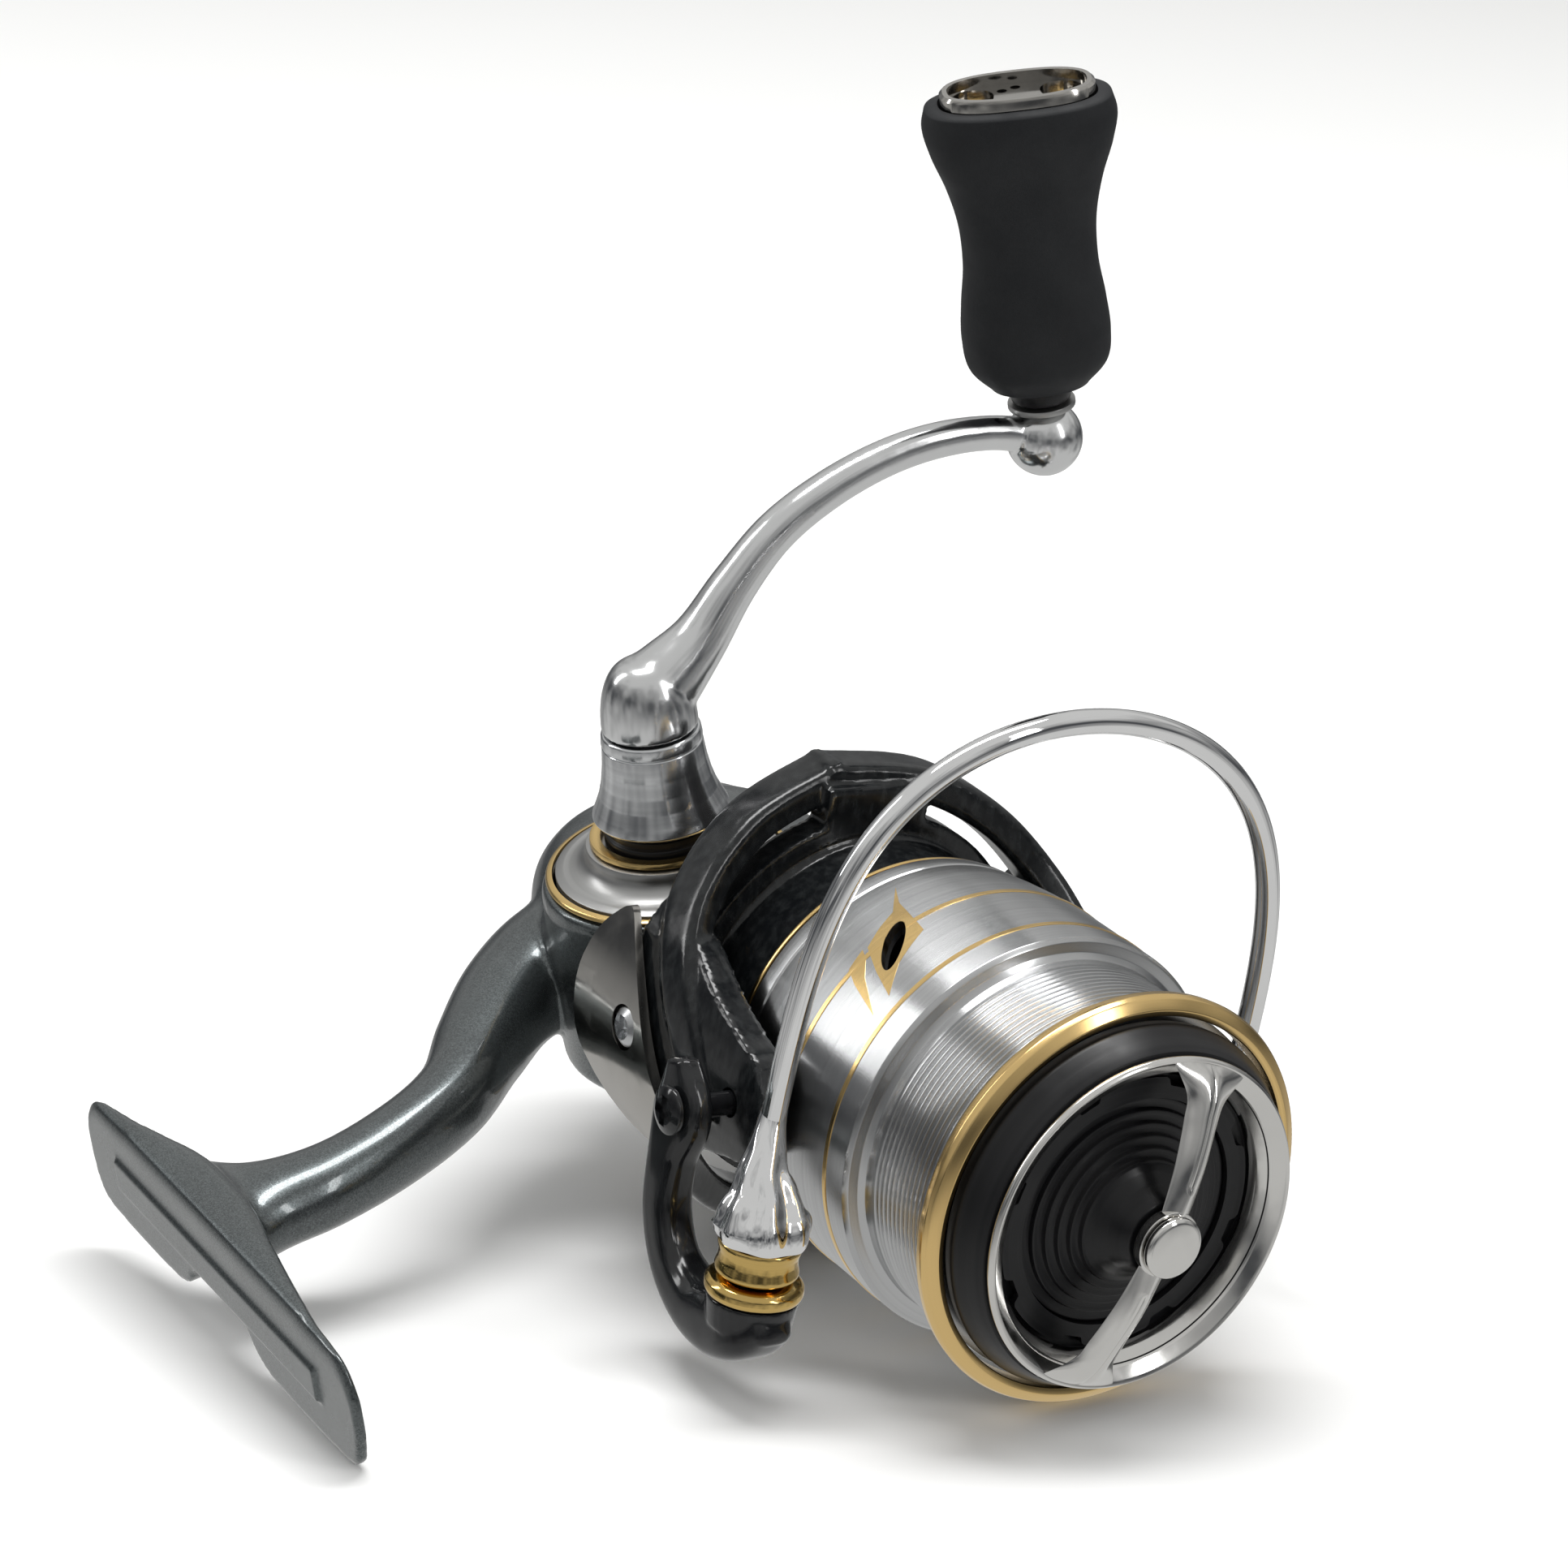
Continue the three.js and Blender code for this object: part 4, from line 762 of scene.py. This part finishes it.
# arch stations: x, y, z, half width and half thickness
PLAIN_ARCH = [(-36, 25.1, 4.5, 2.5, 1.6), (-42.5, 24.6, 7.4, 2.7, 1.7), (-47.6, 21.7, 13.4, 2.9, 1.8),
              (-51, 15.4, 20.2, 3.1, 1.9), (-53.2, 7.4, 24.4, 3.1, 2)]
BAIL_ARCH = [(-34.5, -26.2, -4.5, 2.6, 1.4), (-40, -25.9, 1.6, 2.7, 1.5), (-45.5, -24.9, 7.6, 2.7, 1.6),
             (-50.6, -21.6, 14.2, 2.9, 1.8), (-53.6, -14.6, 21, 2.9, 1.9)]
HIGH_PEAK = (-54.6, -4.6, 25.6, 2.9, 2)
LOW_PEAK = (-54, 0, -26, 3.1, 2)


def arch_half(rows, peak):
    """One half of an arch, run a little past the peak so that the two halves meet in a mitre."""
    past = tuple(peak[i] + 0.09 * (peak[i] - rows[-1][i]) for i in range(3)) + peak[3:]
    return sweep(rows + [peak, past], lambda p: (0, p[1], p[2]), sides=48, rows=60, power=5, caps=0.0)


def arches():
    """The two arches behind the spool. Only the upper one leans towards the bail's side."""
    low_far = [(x, y, -z, wide, thick) for x, y, z, wide, thick in PLAIN_ARCH]
    low_near = [(x, -y, -z, wide, thick) for x, y, z, wide, thick in PLAIN_ARCH]
    return [arch_half(BAIL_ARCH, HIGH_PEAK), arch_half(PLAIN_ARCH, HIGH_PEAK),
            arch_half(low_far, LOW_PEAK), arch_half(low_near, LOW_PEAK)]


def arm_plate(side):
    plate = sweep([
        (-53.4, 25 * side, 0, 13.5, 6), (-46, 25 * side, 0, 12, 6), (-39, 25 * side, 0, 9, 6),
        (-32, 25 * side, 0, 6.8, 6), (-28, 25 * side, 0, 5.6, 6), (-25.6, 25 * side, 0, 3.4, 6),
    ], (0, side, 0), sides=48, rows=60, power=4, caps=0.2)
    return within(plate, lathe([(-56, 23.6), (-20, 23.6), (-20, ARM_OUT), (-56, ARM_OUT)], "x", 96))


def rotor_casting():
    bowl = lathe([
        (-29, 17.6), (-29, 19.2), (-49.6, 19.2), (-50.2, 19.8), (-50.2, 22), (-53.9, 22), (-53.9, 12),
        (-48.9, 12), (-48.9, 3.3), (-46.2, 3.3), (-46.2, 16.4), (-44, 17.6),
    ])
    parts = [bowl]
    for side in (-1, 1):
        parts.append(arm_plate(side))
        low = min(side * 18.5, side * 25.5)
        parts.append(block((-53.9, low, -10), (-50.2, low + 7, 10)))
        parts.append(block((-53.9, -6.5, low), (-50.2, 6.5, low + 7)))
    cast = fused(parts + arches(), CAST_VOXEL, relax=2)
    holes = []
    for side in (-1, 1):
        for x, radius in ((PIVOT.x, 1.6), (COVER_SCREW_X, 1.2)):
            hole = rod(20, 32, radius, "y")
            holes.append(shifted(hole if side > 0 else mirrored(hole, 1), x))
    clearance = lathe([(-50.2, 20.4), (-49.4, 19.5), (-20, 19.5), (-20, 23.3), (-50.2, 23.3)], "x", 96)
    return carved(cast, clearance, *holes)


def arm_cover(side):
    """Leaf-shaped metal cover on a rotor arm, crowned, with a crease along its rear third."""
    plate = prism([(z, x) for x, z in softened(LEAF)], 20, 34, "y")
    shell = lathe([(-63, 27.6), (-63, 28), (-57.5, 28.3), (-52, 28.5), (-44, 28.9), (-37, 28.2),
                   (-37, 27.6)], "x", 200)
    hole = shifted(rod(20, 34, 2.5, "y", 48), COVER_SCREW_X)
    crease = turned(shifted(block((-16, 28.1, -14), (0, 34, 14)), -57.2), -9, "Y")
    cover = carved(within(shell, plate), hole, crease)
    return cover if side > 0 else mirrored(cover, 1)


def screw_head(radius, height, shank, length):
    """Cross-recessed screw along +y, seated at y = 0."""
    body = turned_piece([(-length, 0), (-length, shank), (0, shank), (0, radius), (0.55 * height, radius),
                         (height, 0.6 * radius), (height, 0)], 0.15, 3, "y", 48, False)
    arms = [turned(block((-0.62 * radius, 0.45 * height, -0.2 * radius),
                         (0.62 * radius, height + 1, 0.2 * radius)), a, "Y") for a in (0, 90)]
    return carved(body, *arms)


def rotor_pieces():
    make("rotor_casting", rotor_casting(), ROTOR, "rotor", ROTOR_BLACK, ["rotor_frame"], 40)
    for label, side in (("bail", -1), ("far", 1)):
        make("cover_" + label, arm_cover(side), ROTOR, "rotor", SMOKE,
             ["arm_cover_" + label], 30)
        half_turn = 180 if side < 0 else 0
        make("cover_fixing_" + label, screw_head(2.2, 1.4, 0.9, 2.6),
             moved(ROTOR, COVER_SCREW_X, side * (ARM_OUT + 0.4), 0, half_turn), "rotor", STEEL,
             ["arm_cover_screw_" + label], 30)
    for label, y, length, half_turn in (("near", -33.9, 9.3, 180), ("far", 32.2, 7.6, 0)):
        make("pivot_" + label, screw_head(2.6, 1.0, 1.3, length), moved(ROTOR, PIVOT.x, y, 0, half_turn),
             "rotor", LEVER_BLACK, ["bail_pivot_screw_" + label], 30)


# ---- bail
BAIL_REACH, BAIL_TILT, BAIL_HALF, WIRE = 48.3, 84.3, 30.0, 1.3
WIRE_START, WIRE_END = (-18.7, 2.1), (-20.2, -5.3)


def wire_line(steps):
    """Points of the wire hoop from the roller end round to the far arm."""
    line = []
    for share in np.linspace(0.024, 0.976, steps):
        t = 0.5 - 0.5 * math.cos(math.pi * share)
        reach = BAIL_REACH * math.sin(math.pi * t) ** 0.55
        line.append((
            WIRE_START[0] + (WIRE_END[0] - WIRE_START[0]) * t + reach * math.cos(math.radians(BAIL_TILT)),
            -BAIL_HALF * math.cos(math.pi * t),
            WIRE_START[1] + (WIRE_END[1] - WIRE_START[1]) * t + reach * math.sin(math.radians(BAIL_TILT)),
            WIRE, WIRE))
    return line


def wire_shape():
    hoop = sweep(wire_line(48), (1, 0, 0.2), sides=28, rows=240, caps=0.6)
    link = sweep([
        (PIVOT.x, 30.6, 0, 3.6, 1.2), (PIVOT.x + 5, 30.6, -1.6, 2.4, 1.3),
        (WIRE_END[0] - 1.6, 30.3, WIRE_END[1] + 1.4, 1.9, 1.5),
        (WIRE_END[0] + 0.5, 30.1, WIRE_END[1] + 4.5, 1.4, 1.4),
    ], (0, 1, 0), sides=32, rows=50, caps=0.6)
    boss = turned_piece([(29.3, 0), (29.3, 4), (31.9, 4), (31.9, 0)], 0.4, 3, "y", 64, False)
    bore = shifted(rod(20, 40, 1.6, "y"), PIVOT.x)
    return carved(combined(hoop, [link, shifted(boss, PIVOT.x)], "UNION"), bore)


def lever_shape():
    x = PIVOT.x
    curved = sweep([
        (x - 2.4, -31.6, 4, 2, 1.4), (x - 1, -31.8, 0, 4, 1.9), (x - 1.4, -32, -6, 3, 2),
        (x - 0.6, -32.2, -12, 2.6, 2.2), (x + 2.6, -32.2, -16.6, 2.7, 2.4), (x + 8, -32, -18.6, 3, 3.2),
        (x + 13, -31.9, -18, 3.6, 3.7), (x + 17.5, -31.7, -16.4, 3, 3.7), (x + 20, -31.5, -15.4, 1.6, 2.4),
    ], (0, -1, 0), sides=48, rows=120, power=3, caps=0.5)
    seat = shifted(lathe([(-16.5, 0), (-16.5, 4.4), (-13.4, 4.8), (-13.4, 0)], "z", 64, False),
                   ROLLER.x, ROLLER.y)
    cast = fused([curved, seat], 0.22, relax=3)
    pivot_hole = shifted(mirrored(rod(20, 40, 1.6, "y"), 1), x)
    pin_hole = shifted(rod(-17.4, -12, 1.9, "z"), ROLLER.x, ROLLER.y)
    return carved(cast, pivot_hole, pin_hole)


def base_shape():
    """Fluted teardrop that joins the wire to the roller."""
    def flutes(angles, t):
        fade = max(0.0, 1 - abs(t - 0.3) / 0.45)
        return 1 + 0.11 * fade * np.sin(7 * angles + 2 * t)

    stem = sweep([
        (ROLLER.x, ROLLER.y, -6.9, 4.7, 4.7), (ROLLER.x, ROLLER.y, -5.7, 4.95, 4.85),
        (ROLLER.x - 0.3, ROLLER.y, -4.4, 4.4, 4.2), (ROLLER.x - 0.9, ROLLER.y + 0.2, -2.6, 3.5, 3.2),
        (-16.9, -31.2, -0.6, 2.7, 2.4), (-17.6, -30.7, 1.4, 2.1, 1.9), (-18.4, -30.1, 3.9, 1.55, 1.45),
        (-19, -29.4, 6.6, 1.2, 1.2),
    ], (1, 0, 0), sides=112, rows=90, caps=0.1, section=flutes)
    bore = shifted(rod(-8, -5, 1.9, "z"), ROLLER.x, ROLLER.y)
    return carved(stem, bore)


def bail_pieces():
    make("wire", wire_shape(), ROTOR, "bail", CHROME, ["bail_wire"], 40)
    make("lever", lever_shape(), ROTOR, "bail", LEVER_BLACK, ["bail_lever"], 50)
    make("wire_base", base_shape(), ROTOR, "bail", CHROME, ["bail_wire_base"], 50)
    flange = [(-13.1, 1.9), (-13.1, 4.95), (-12.6, 5.15), (-11.9, 5.1), (-11.5, 4.7), (-11.1, 3.4),
              (-11.1, 1.9)]
    make("roller_ring", turned_piece(flange, 0.15, 3, "z", 96), ROLLER_FRAME, "bail", ROLLER_GOLD,
         ["roller_flange"])
    roller = [(-10.8, 3.1), (-10.8, 4.25), (-10.3, 4.35), (-9.4, 4.1), (-8.6, 4.1), (-7.7, 4.35),
              (-7.3, 4.25), (-7.3, 3.1)]
    make("roller", turned_piece(roller, 0.2, 3, "z", 96), ROLLER_FRAME, "line_roller", ROLLER_GOLD,
         ["line_roller"])


# ---- spool
GROOVE_PITCH = 0.8
FIRST_GROOVE, GROOVES_END = -12.6, -3      # grooves of the arbor, along x
ARBOR, GROOVE_FLOOR = 20.5, 20.05          # radii
SLOT_X, SLOT_ROLL, SLOT_SLANT = -26.0, 19.2, -47
SLOT_LONG, SLOT_SHORT = 3.6, 1.15


def spool_slot(half_turn):
    """Slanted oval cutter through the skirt."""
    angles = np.linspace(0, 2 * math.pi, 40, endpoint=False)
    outline = [(SLOT_LONG * math.cos(a), SLOT_SHORT * math.sin(a)) for a in angles]
    cutter = turned(prism(outline, 15, 30, "z"), SLOT_SLANT, "Z")
    return turned(shifted(cutter, SLOT_X), SLOT_ROLL + half_turn, "X")


def inlay(half_turn):
    """Pointed gold inlay round a skirt slot, with a smaller spike beside it."""
    large = [(-34.7, 5.8), (-31.6, 4.4), (-28.4, 3.9), (-25.2, 3.4), (-23.2, -1.2), (-20.6, -4.6),
             (-24.6, -3.4), (-28.3, -1.9), (-29.6, 0.6), (-30.6, 3.0)]
    small = [(-28.6, -2.4), (-27.2, -2.9), (-25.2, -4.6), (-20.4, -7.1), (-25.6, -5.8), (-27.9, -4.9)]
    skin_of_skirt = lathe([(-36, 21.6), (-36, 21.97), (-34, 22.19), (-30.5, 22.54), (-27.3, 22.74),
                           (-18, 22.74), (-18, 21.6)], "x", 240)
    marks = [within(skin_of_skirt, turned(prism(corners, 15, 30, "z"), SLOT_ROLL + half_turn, "X"))
             for corners in (large, small)]
    return carved(together(marks), spool_slot(half_turn))


def spool_pieces():
    outline = [(-39.7, 20.2), (-39.7, 21.2), (-39.4, 21.45), (-37.2, 21.75), (-37.0, 21.6), (-36.8, 21.75),
               (-34, 22.15), (-30.5, 22.5), (-27.3, 22.7), (-15.2, 22.7), (-14.7, 22.3),
               (-14.6, 21.2), (-14.1, 20.6), (-13.2, 20.4)]
    x = FIRST_GROOVE
    while x < GROOVES_END:
        outline += [(x, ARBOR), (x + 0.14, GROOVE_FLOOR), (x + 0.4, GROOVE_FLOOR), (x + 0.54, ARBOR)]
        x += GROOVE_PITCH
    outline += [(-2.2, 20.4), (-2.2, 14), (-10, 14), (-10, 5.2), (-18, 5.2), (-18, 7.6), (-13, 8.4),
                (-13, 18.4), (-15, 19), (-18, 20.9), (-28, 20.9)]
    slots = [spool_slot(0), spool_slot(180)]
    body = carved(turned_piece(outline, 0.08, 2, "x", ROUND_LARGE), *slots)
    make("spool_body", body, REEL, "spool", SPOOL_METAL, ["spool"], 25)
    lip = [(-1.9, 20.7), (-1.9, 21.9), (-1.5, 22.6), (-0.5, 22.75), (0.1, 22.5), (0.75, 21.4), (0.5, 20.7)]
    make("spool_front_lip", turned_piece(lip, 0.12, 3, "x", ROUND_LARGE), REEL, "spool", GOLD_X,
         ["spool_lip"])
    rim = [(-40.9, 20.3), (-40.9, 20.8), (-40.5, 21.2), (-40, 21.2), (-40, 20.3)]
    make("spool_rear_rim", turned_piece(rim, 0.15, 3, "x", ROUND_LARGE), REEL, "spool", GOLD_X,
         ["spool_rear_ring"])
    for label, place in (("rear", -27.35), ("front", -18.65)):
        line = [(place - 0.32, 22.3), (place - 0.32, 22.78), (place + 0.32, 22.78), (place + 0.32, 22.3)]
        band = carved(turned_piece(line, 0.05, 1, "x", ROUND_LARGE), *slots)
        make("gold_line_" + label, band, REEL, "spool", GOLD_X)
    for label, half_turn in (("a", 0), ("b", 180)):
        make("gold_inlay_" + label, inlay(half_turn), REEL, "spool", GOLD_X)


# ---- drag knob
def cone_steps():
    """Stepped black cone between the knob's ring and its hub."""
    steps = [(1.0, 13.2)]
    for x, radius in ((1.6, 12.4), (2.1, 11.2), (2.6, 10), (3.2, 8.9), (3.8, 7.8), (4.4, 6.8)):
        steps += [(x - 0.5, radius + 0.15), (x + 0.1, radius + 0.05), (x + 0.1, radius - 0.25)]
    return steps + [(4.9, 5.9), (6.0, 4.9), (7.2, 4.2), (8.0, 3.7), (8.0, 2.4)]


def spoke_ridge(angles, t):
    """A groove along the outside of a spoke, which leaves a ridge on either side of it."""
    return 1 - 0.22 * np.exp(-((angles - math.pi / 2) / 0.28) ** 2) * (t < 0.8)


def drag_pieces():
    outside = [(0.9, 20.1), (1.3, 20.0), (2.6, 19.4), (4.4, 18.62), (4.4, 16.3), (1.4, 15.6)]
    inside = [(-5.4, 2.4), (-5.4, 8), (-1, 8), (-1, 13.4), (-0.4, 19.9)]
    cone = turned_piece(outside + cone_steps() + inside, 0.15, 2, "x", ROUND_LARGE)
    make("drag_cone", cone, BRIDGE_FRAME, "drag_knob", BLACK_X, ["drag_knob_body"])
    angles = np.linspace(0, 2 * math.pi, 240, endpoint=False)
    notch = np.clip((np.cos(8 * angles) - 0.62) / 0.2, 0, 1)
    scallop = [((14.9 - 0.9 * n) * math.cos(a), (14.9 - 0.9 * n) * math.sin(a))
               for a, n in zip(angles, notch)]
    disc = carved(prism(scallop, 1.55, 2.3, "x"), rod(0, 5, 12.6, "x", 96))
    make("drag_scallop", disc, BRIDGE_FRAME, "drag_knob", BLACK_X)
    ring = [(4.75, 18.4), (5.15, 18.4), (5.5, 18.1), (5.35, 17.7), (4.6, 16.5), (3.2, 15.6), (2.35, 15.2),
            (2.2, 15.5), (4.3, 17.2)]
    spokes = []
    for side in (-1, 1):
        spokes.append(sweep([
            (5.1, side * 17.7, 0, 5.2, 0.5), (5.7, side * 16.6, 0, 4.2, 1.1), (6.5, side * 14.6, 0, 2.6, 1.5),
            (7.1, side * 12.3, 0, 2.3, 1.6), (8.2, side * 8, 0, 2.1, 1.5), (9.0, side * 2, 0, 1.8, 1.0),
        ], (1, 0, 0), sides=40, rows=60, power=1.15, caps=0.2, section=spoke_ridge))
    hub = turned_piece([(8.5, 0), (8.5, 3.5), (9.8, 3.6), (9.8, 0)], 0.2, 3, "x", 64, False)
    bridge = combined(turned_piece(ring, 0.1, 2, "x", ROUND_LARGE), spokes + [hub], "UNION")
    make("drag_bridge", bridge, BRIDGE_FRAME, "drag_knob", NICKEL,
         ["drag_knob_bridge"], 35)
    cap = turned_piece([(10, 0), (10, 3.3), (10.7, 3.3), (11.0, 2.9), (11.1, 0)], 0.2, 3, "x", 96, False)
    make("drag_hub_cap", cap, BRIDGE_FRAME, "drag_knob", NICKEL, ["drag_knob_cap"])


# ---- CAD nodes that stay
INNER = {
    STEEL: ["drive_gear", "handle_shaft", "drive_bearing_cover_side", "drive_bearing_far_side",
            "knob_bearing_inner", "knob_bearing_outer", "pinion_bearing", "clutch_outer",
            "slider_rail_upper", "slider_rail_lower", "clutch_sleeve", "rotor_nut", "roller_pin",
            "roller_bearing", "worm_shaft", "main_shaft", "spool_bearing", "drag_washer_keyed",
            "drag_retainer"],
    BRASS: ["pinion", "slider"],
    BLACK_X: ["clutch_retainer", "spool_seat", "clicker_ring", "drag_knob_seal"],
    WASHER: ["drag_washer_rear", "drag_washer_front"],
}


def inner_nodes():
    for material, names in INNER.items():
        for name in names:
            mesh = frame["nodes"][name].data
            mesh.materials.clear()
            mesh.materials.append(material)
            mesh.shade_smooth()
            mesh.set_sharp_from_angle(angle=math.radians(35))


# ---- studio
CAMERA_AZIMUTH, CAMERA_ELEVATION, CAMERA_ROLL = 57.37, 17.35, 2.98
CAMERA_DISTANCE = 463.7
CAMERA_AIM = (5.15, 4.93, 57.6)          # millimetres in the row frame
CAMERA_LENS = 102.8
FLOOR_RADIUS = 4.0                       # metres
LAMPS = [
    # name, place, size in metres, power in watts
    ("ceiling", (-0.2, 0.1, 1.5), (1.2, 0.4), 17),
    ("left", (-0.9, -0.9, 0.8), (0.16, 0.9), 3),
    ("right", (1.1, 0.5, 0.7), (0.16, 0.8), 3),
]


def world_light():
    """A room seen in the metals: light ceiling and table, darker walls, uneven round about."""
    world = bpy.data.worlds.new("room")
    world.use_nodes = True
    tree = world.node_tree
    background = tree.nodes["Background"]
    direction = tree.nodes.new("ShaderNodeTexCoord").outputs["Generated"]
    split = tree.nodes.new("ShaderNodeSeparateXYZ")
    patches = tree.nodes.new("ShaderNodeTexNoise")
    patches.inputs["Scale"].default_value = 3.4
    patches.inputs["Detail"].default_value = 2.0
    height = tree.nodes.new("ShaderNodeMath")
    height.operation = "ABSOLUTE"
    total = tree.nodes.new("ShaderNodeMath")
    total.operation = "MULTIPLY_ADD"
    total.inputs[1].default_value = 0.9
    ramp = tree.nodes.new("ShaderNodeValToRGB")
    ramp.color_ramp.elements[0].position = 0.45
    ramp.color_ramp.elements[0].color = (0.07, 0.073, 0.078, 1)
    ramp.color_ramp.elements[1].position = 1.0
    ramp.color_ramp.elements[1].color = (0.62, 0.62, 0.61, 1)
    join = tree.links.new
    join(direction, split.inputs["Vector"])
    join(direction, patches.inputs["Vector"])
    join(patches.outputs["Fac"], total.inputs[0])
    join(split.outputs["Z"], height.inputs[0])
    join(height.outputs[0], total.inputs[2])
    join(total.outputs[0], ramp.inputs["Fac"])
    join(ramp.outputs["Color"], background.inputs["Color"])
    background.inputs["Strength"].default_value = 1.0
    bpy.context.scene.world = world


def studio():
    azimuth, elevation = math.radians(CAMERA_AZIMUTH), math.radians(CAMERA_ELEVATION)
    back = Vector((math.sin(azimuth) * math.cos(elevation), -math.cos(azimuth) * math.cos(elevation),
                   math.sin(elevation)))
    camera = bpy.data.objects.new("camera", bpy.data.cameras.new("camera"))
    bpy.context.scene.collection.objects.link(camera)
    camera.data.lens = CAMERA_LENS
    camera.data.sensor_width = 36
    camera.data.clip_start, camera.data.clip_end = 0.01, 50
    turn = (-back).to_track_quat("-Z", "Y").to_matrix().to_4x4()
    turn = turn @ Matrix.Rotation(math.radians(CAMERA_ROLL), 4, "Z")
    camera.matrix_world = Matrix.Translation((Vector(CAMERA_AIM) + back * CAMERA_DISTANCE) * MM) @ turn
    bpy.context.scene.camera = camera

    # flat floor, wide enough to fill the picture
    mesh = bpy.data.meshes.new("floor")
    rim = [(FLOOR_RADIUS * math.cos(a), FLOOR_RADIUS * math.sin(a), 0)
           for a in np.linspace(0, 2 * math.pi, 96, endpoint=False)]
    mesh.from_pydata(rim, [], [tuple(range(96))])
    look = Look("floor", (0.93, 0.93, 0.925), 0.0, 0.8)
    look.color_from(look.noise(400, 2.0), (0.925, 0.925, 0.92), (0.935, 0.935, 0.93))
    mesh.materials.append(look.material)
    floor = bpy.data.objects.new("floor", mesh)
    bpy.context.scene.collection.objects.link(floor)
    floor.visible_glossy = False         # the metals show the room, not a white sheet

    world_light()
    for name, place, size, power in LAMPS:
        lamp = bpy.data.lights.new(name, "AREA")
        lamp.shape = "RECTANGLE"
        lamp.size, lamp.size_y = size
        lamp.energy = power
        thing = bpy.data.objects.new(name, lamp)
        bpy.context.scene.collection.objects.link(thing)
        thing.location = place
        aim = Vector((0, 0, 0.05)) - Vector(place)
        thing.rotation_euler = aim.to_track_quat("-Z", "Y").to_euler()
    bpy.context.scene.view_settings.view_transform = "Standard"


studio()
body_pieces()
handle_pieces()
knob_pieces()
rotor_pieces()
bail_pieces()
spool_pieces()
drag_pieces()
inner_nodes()
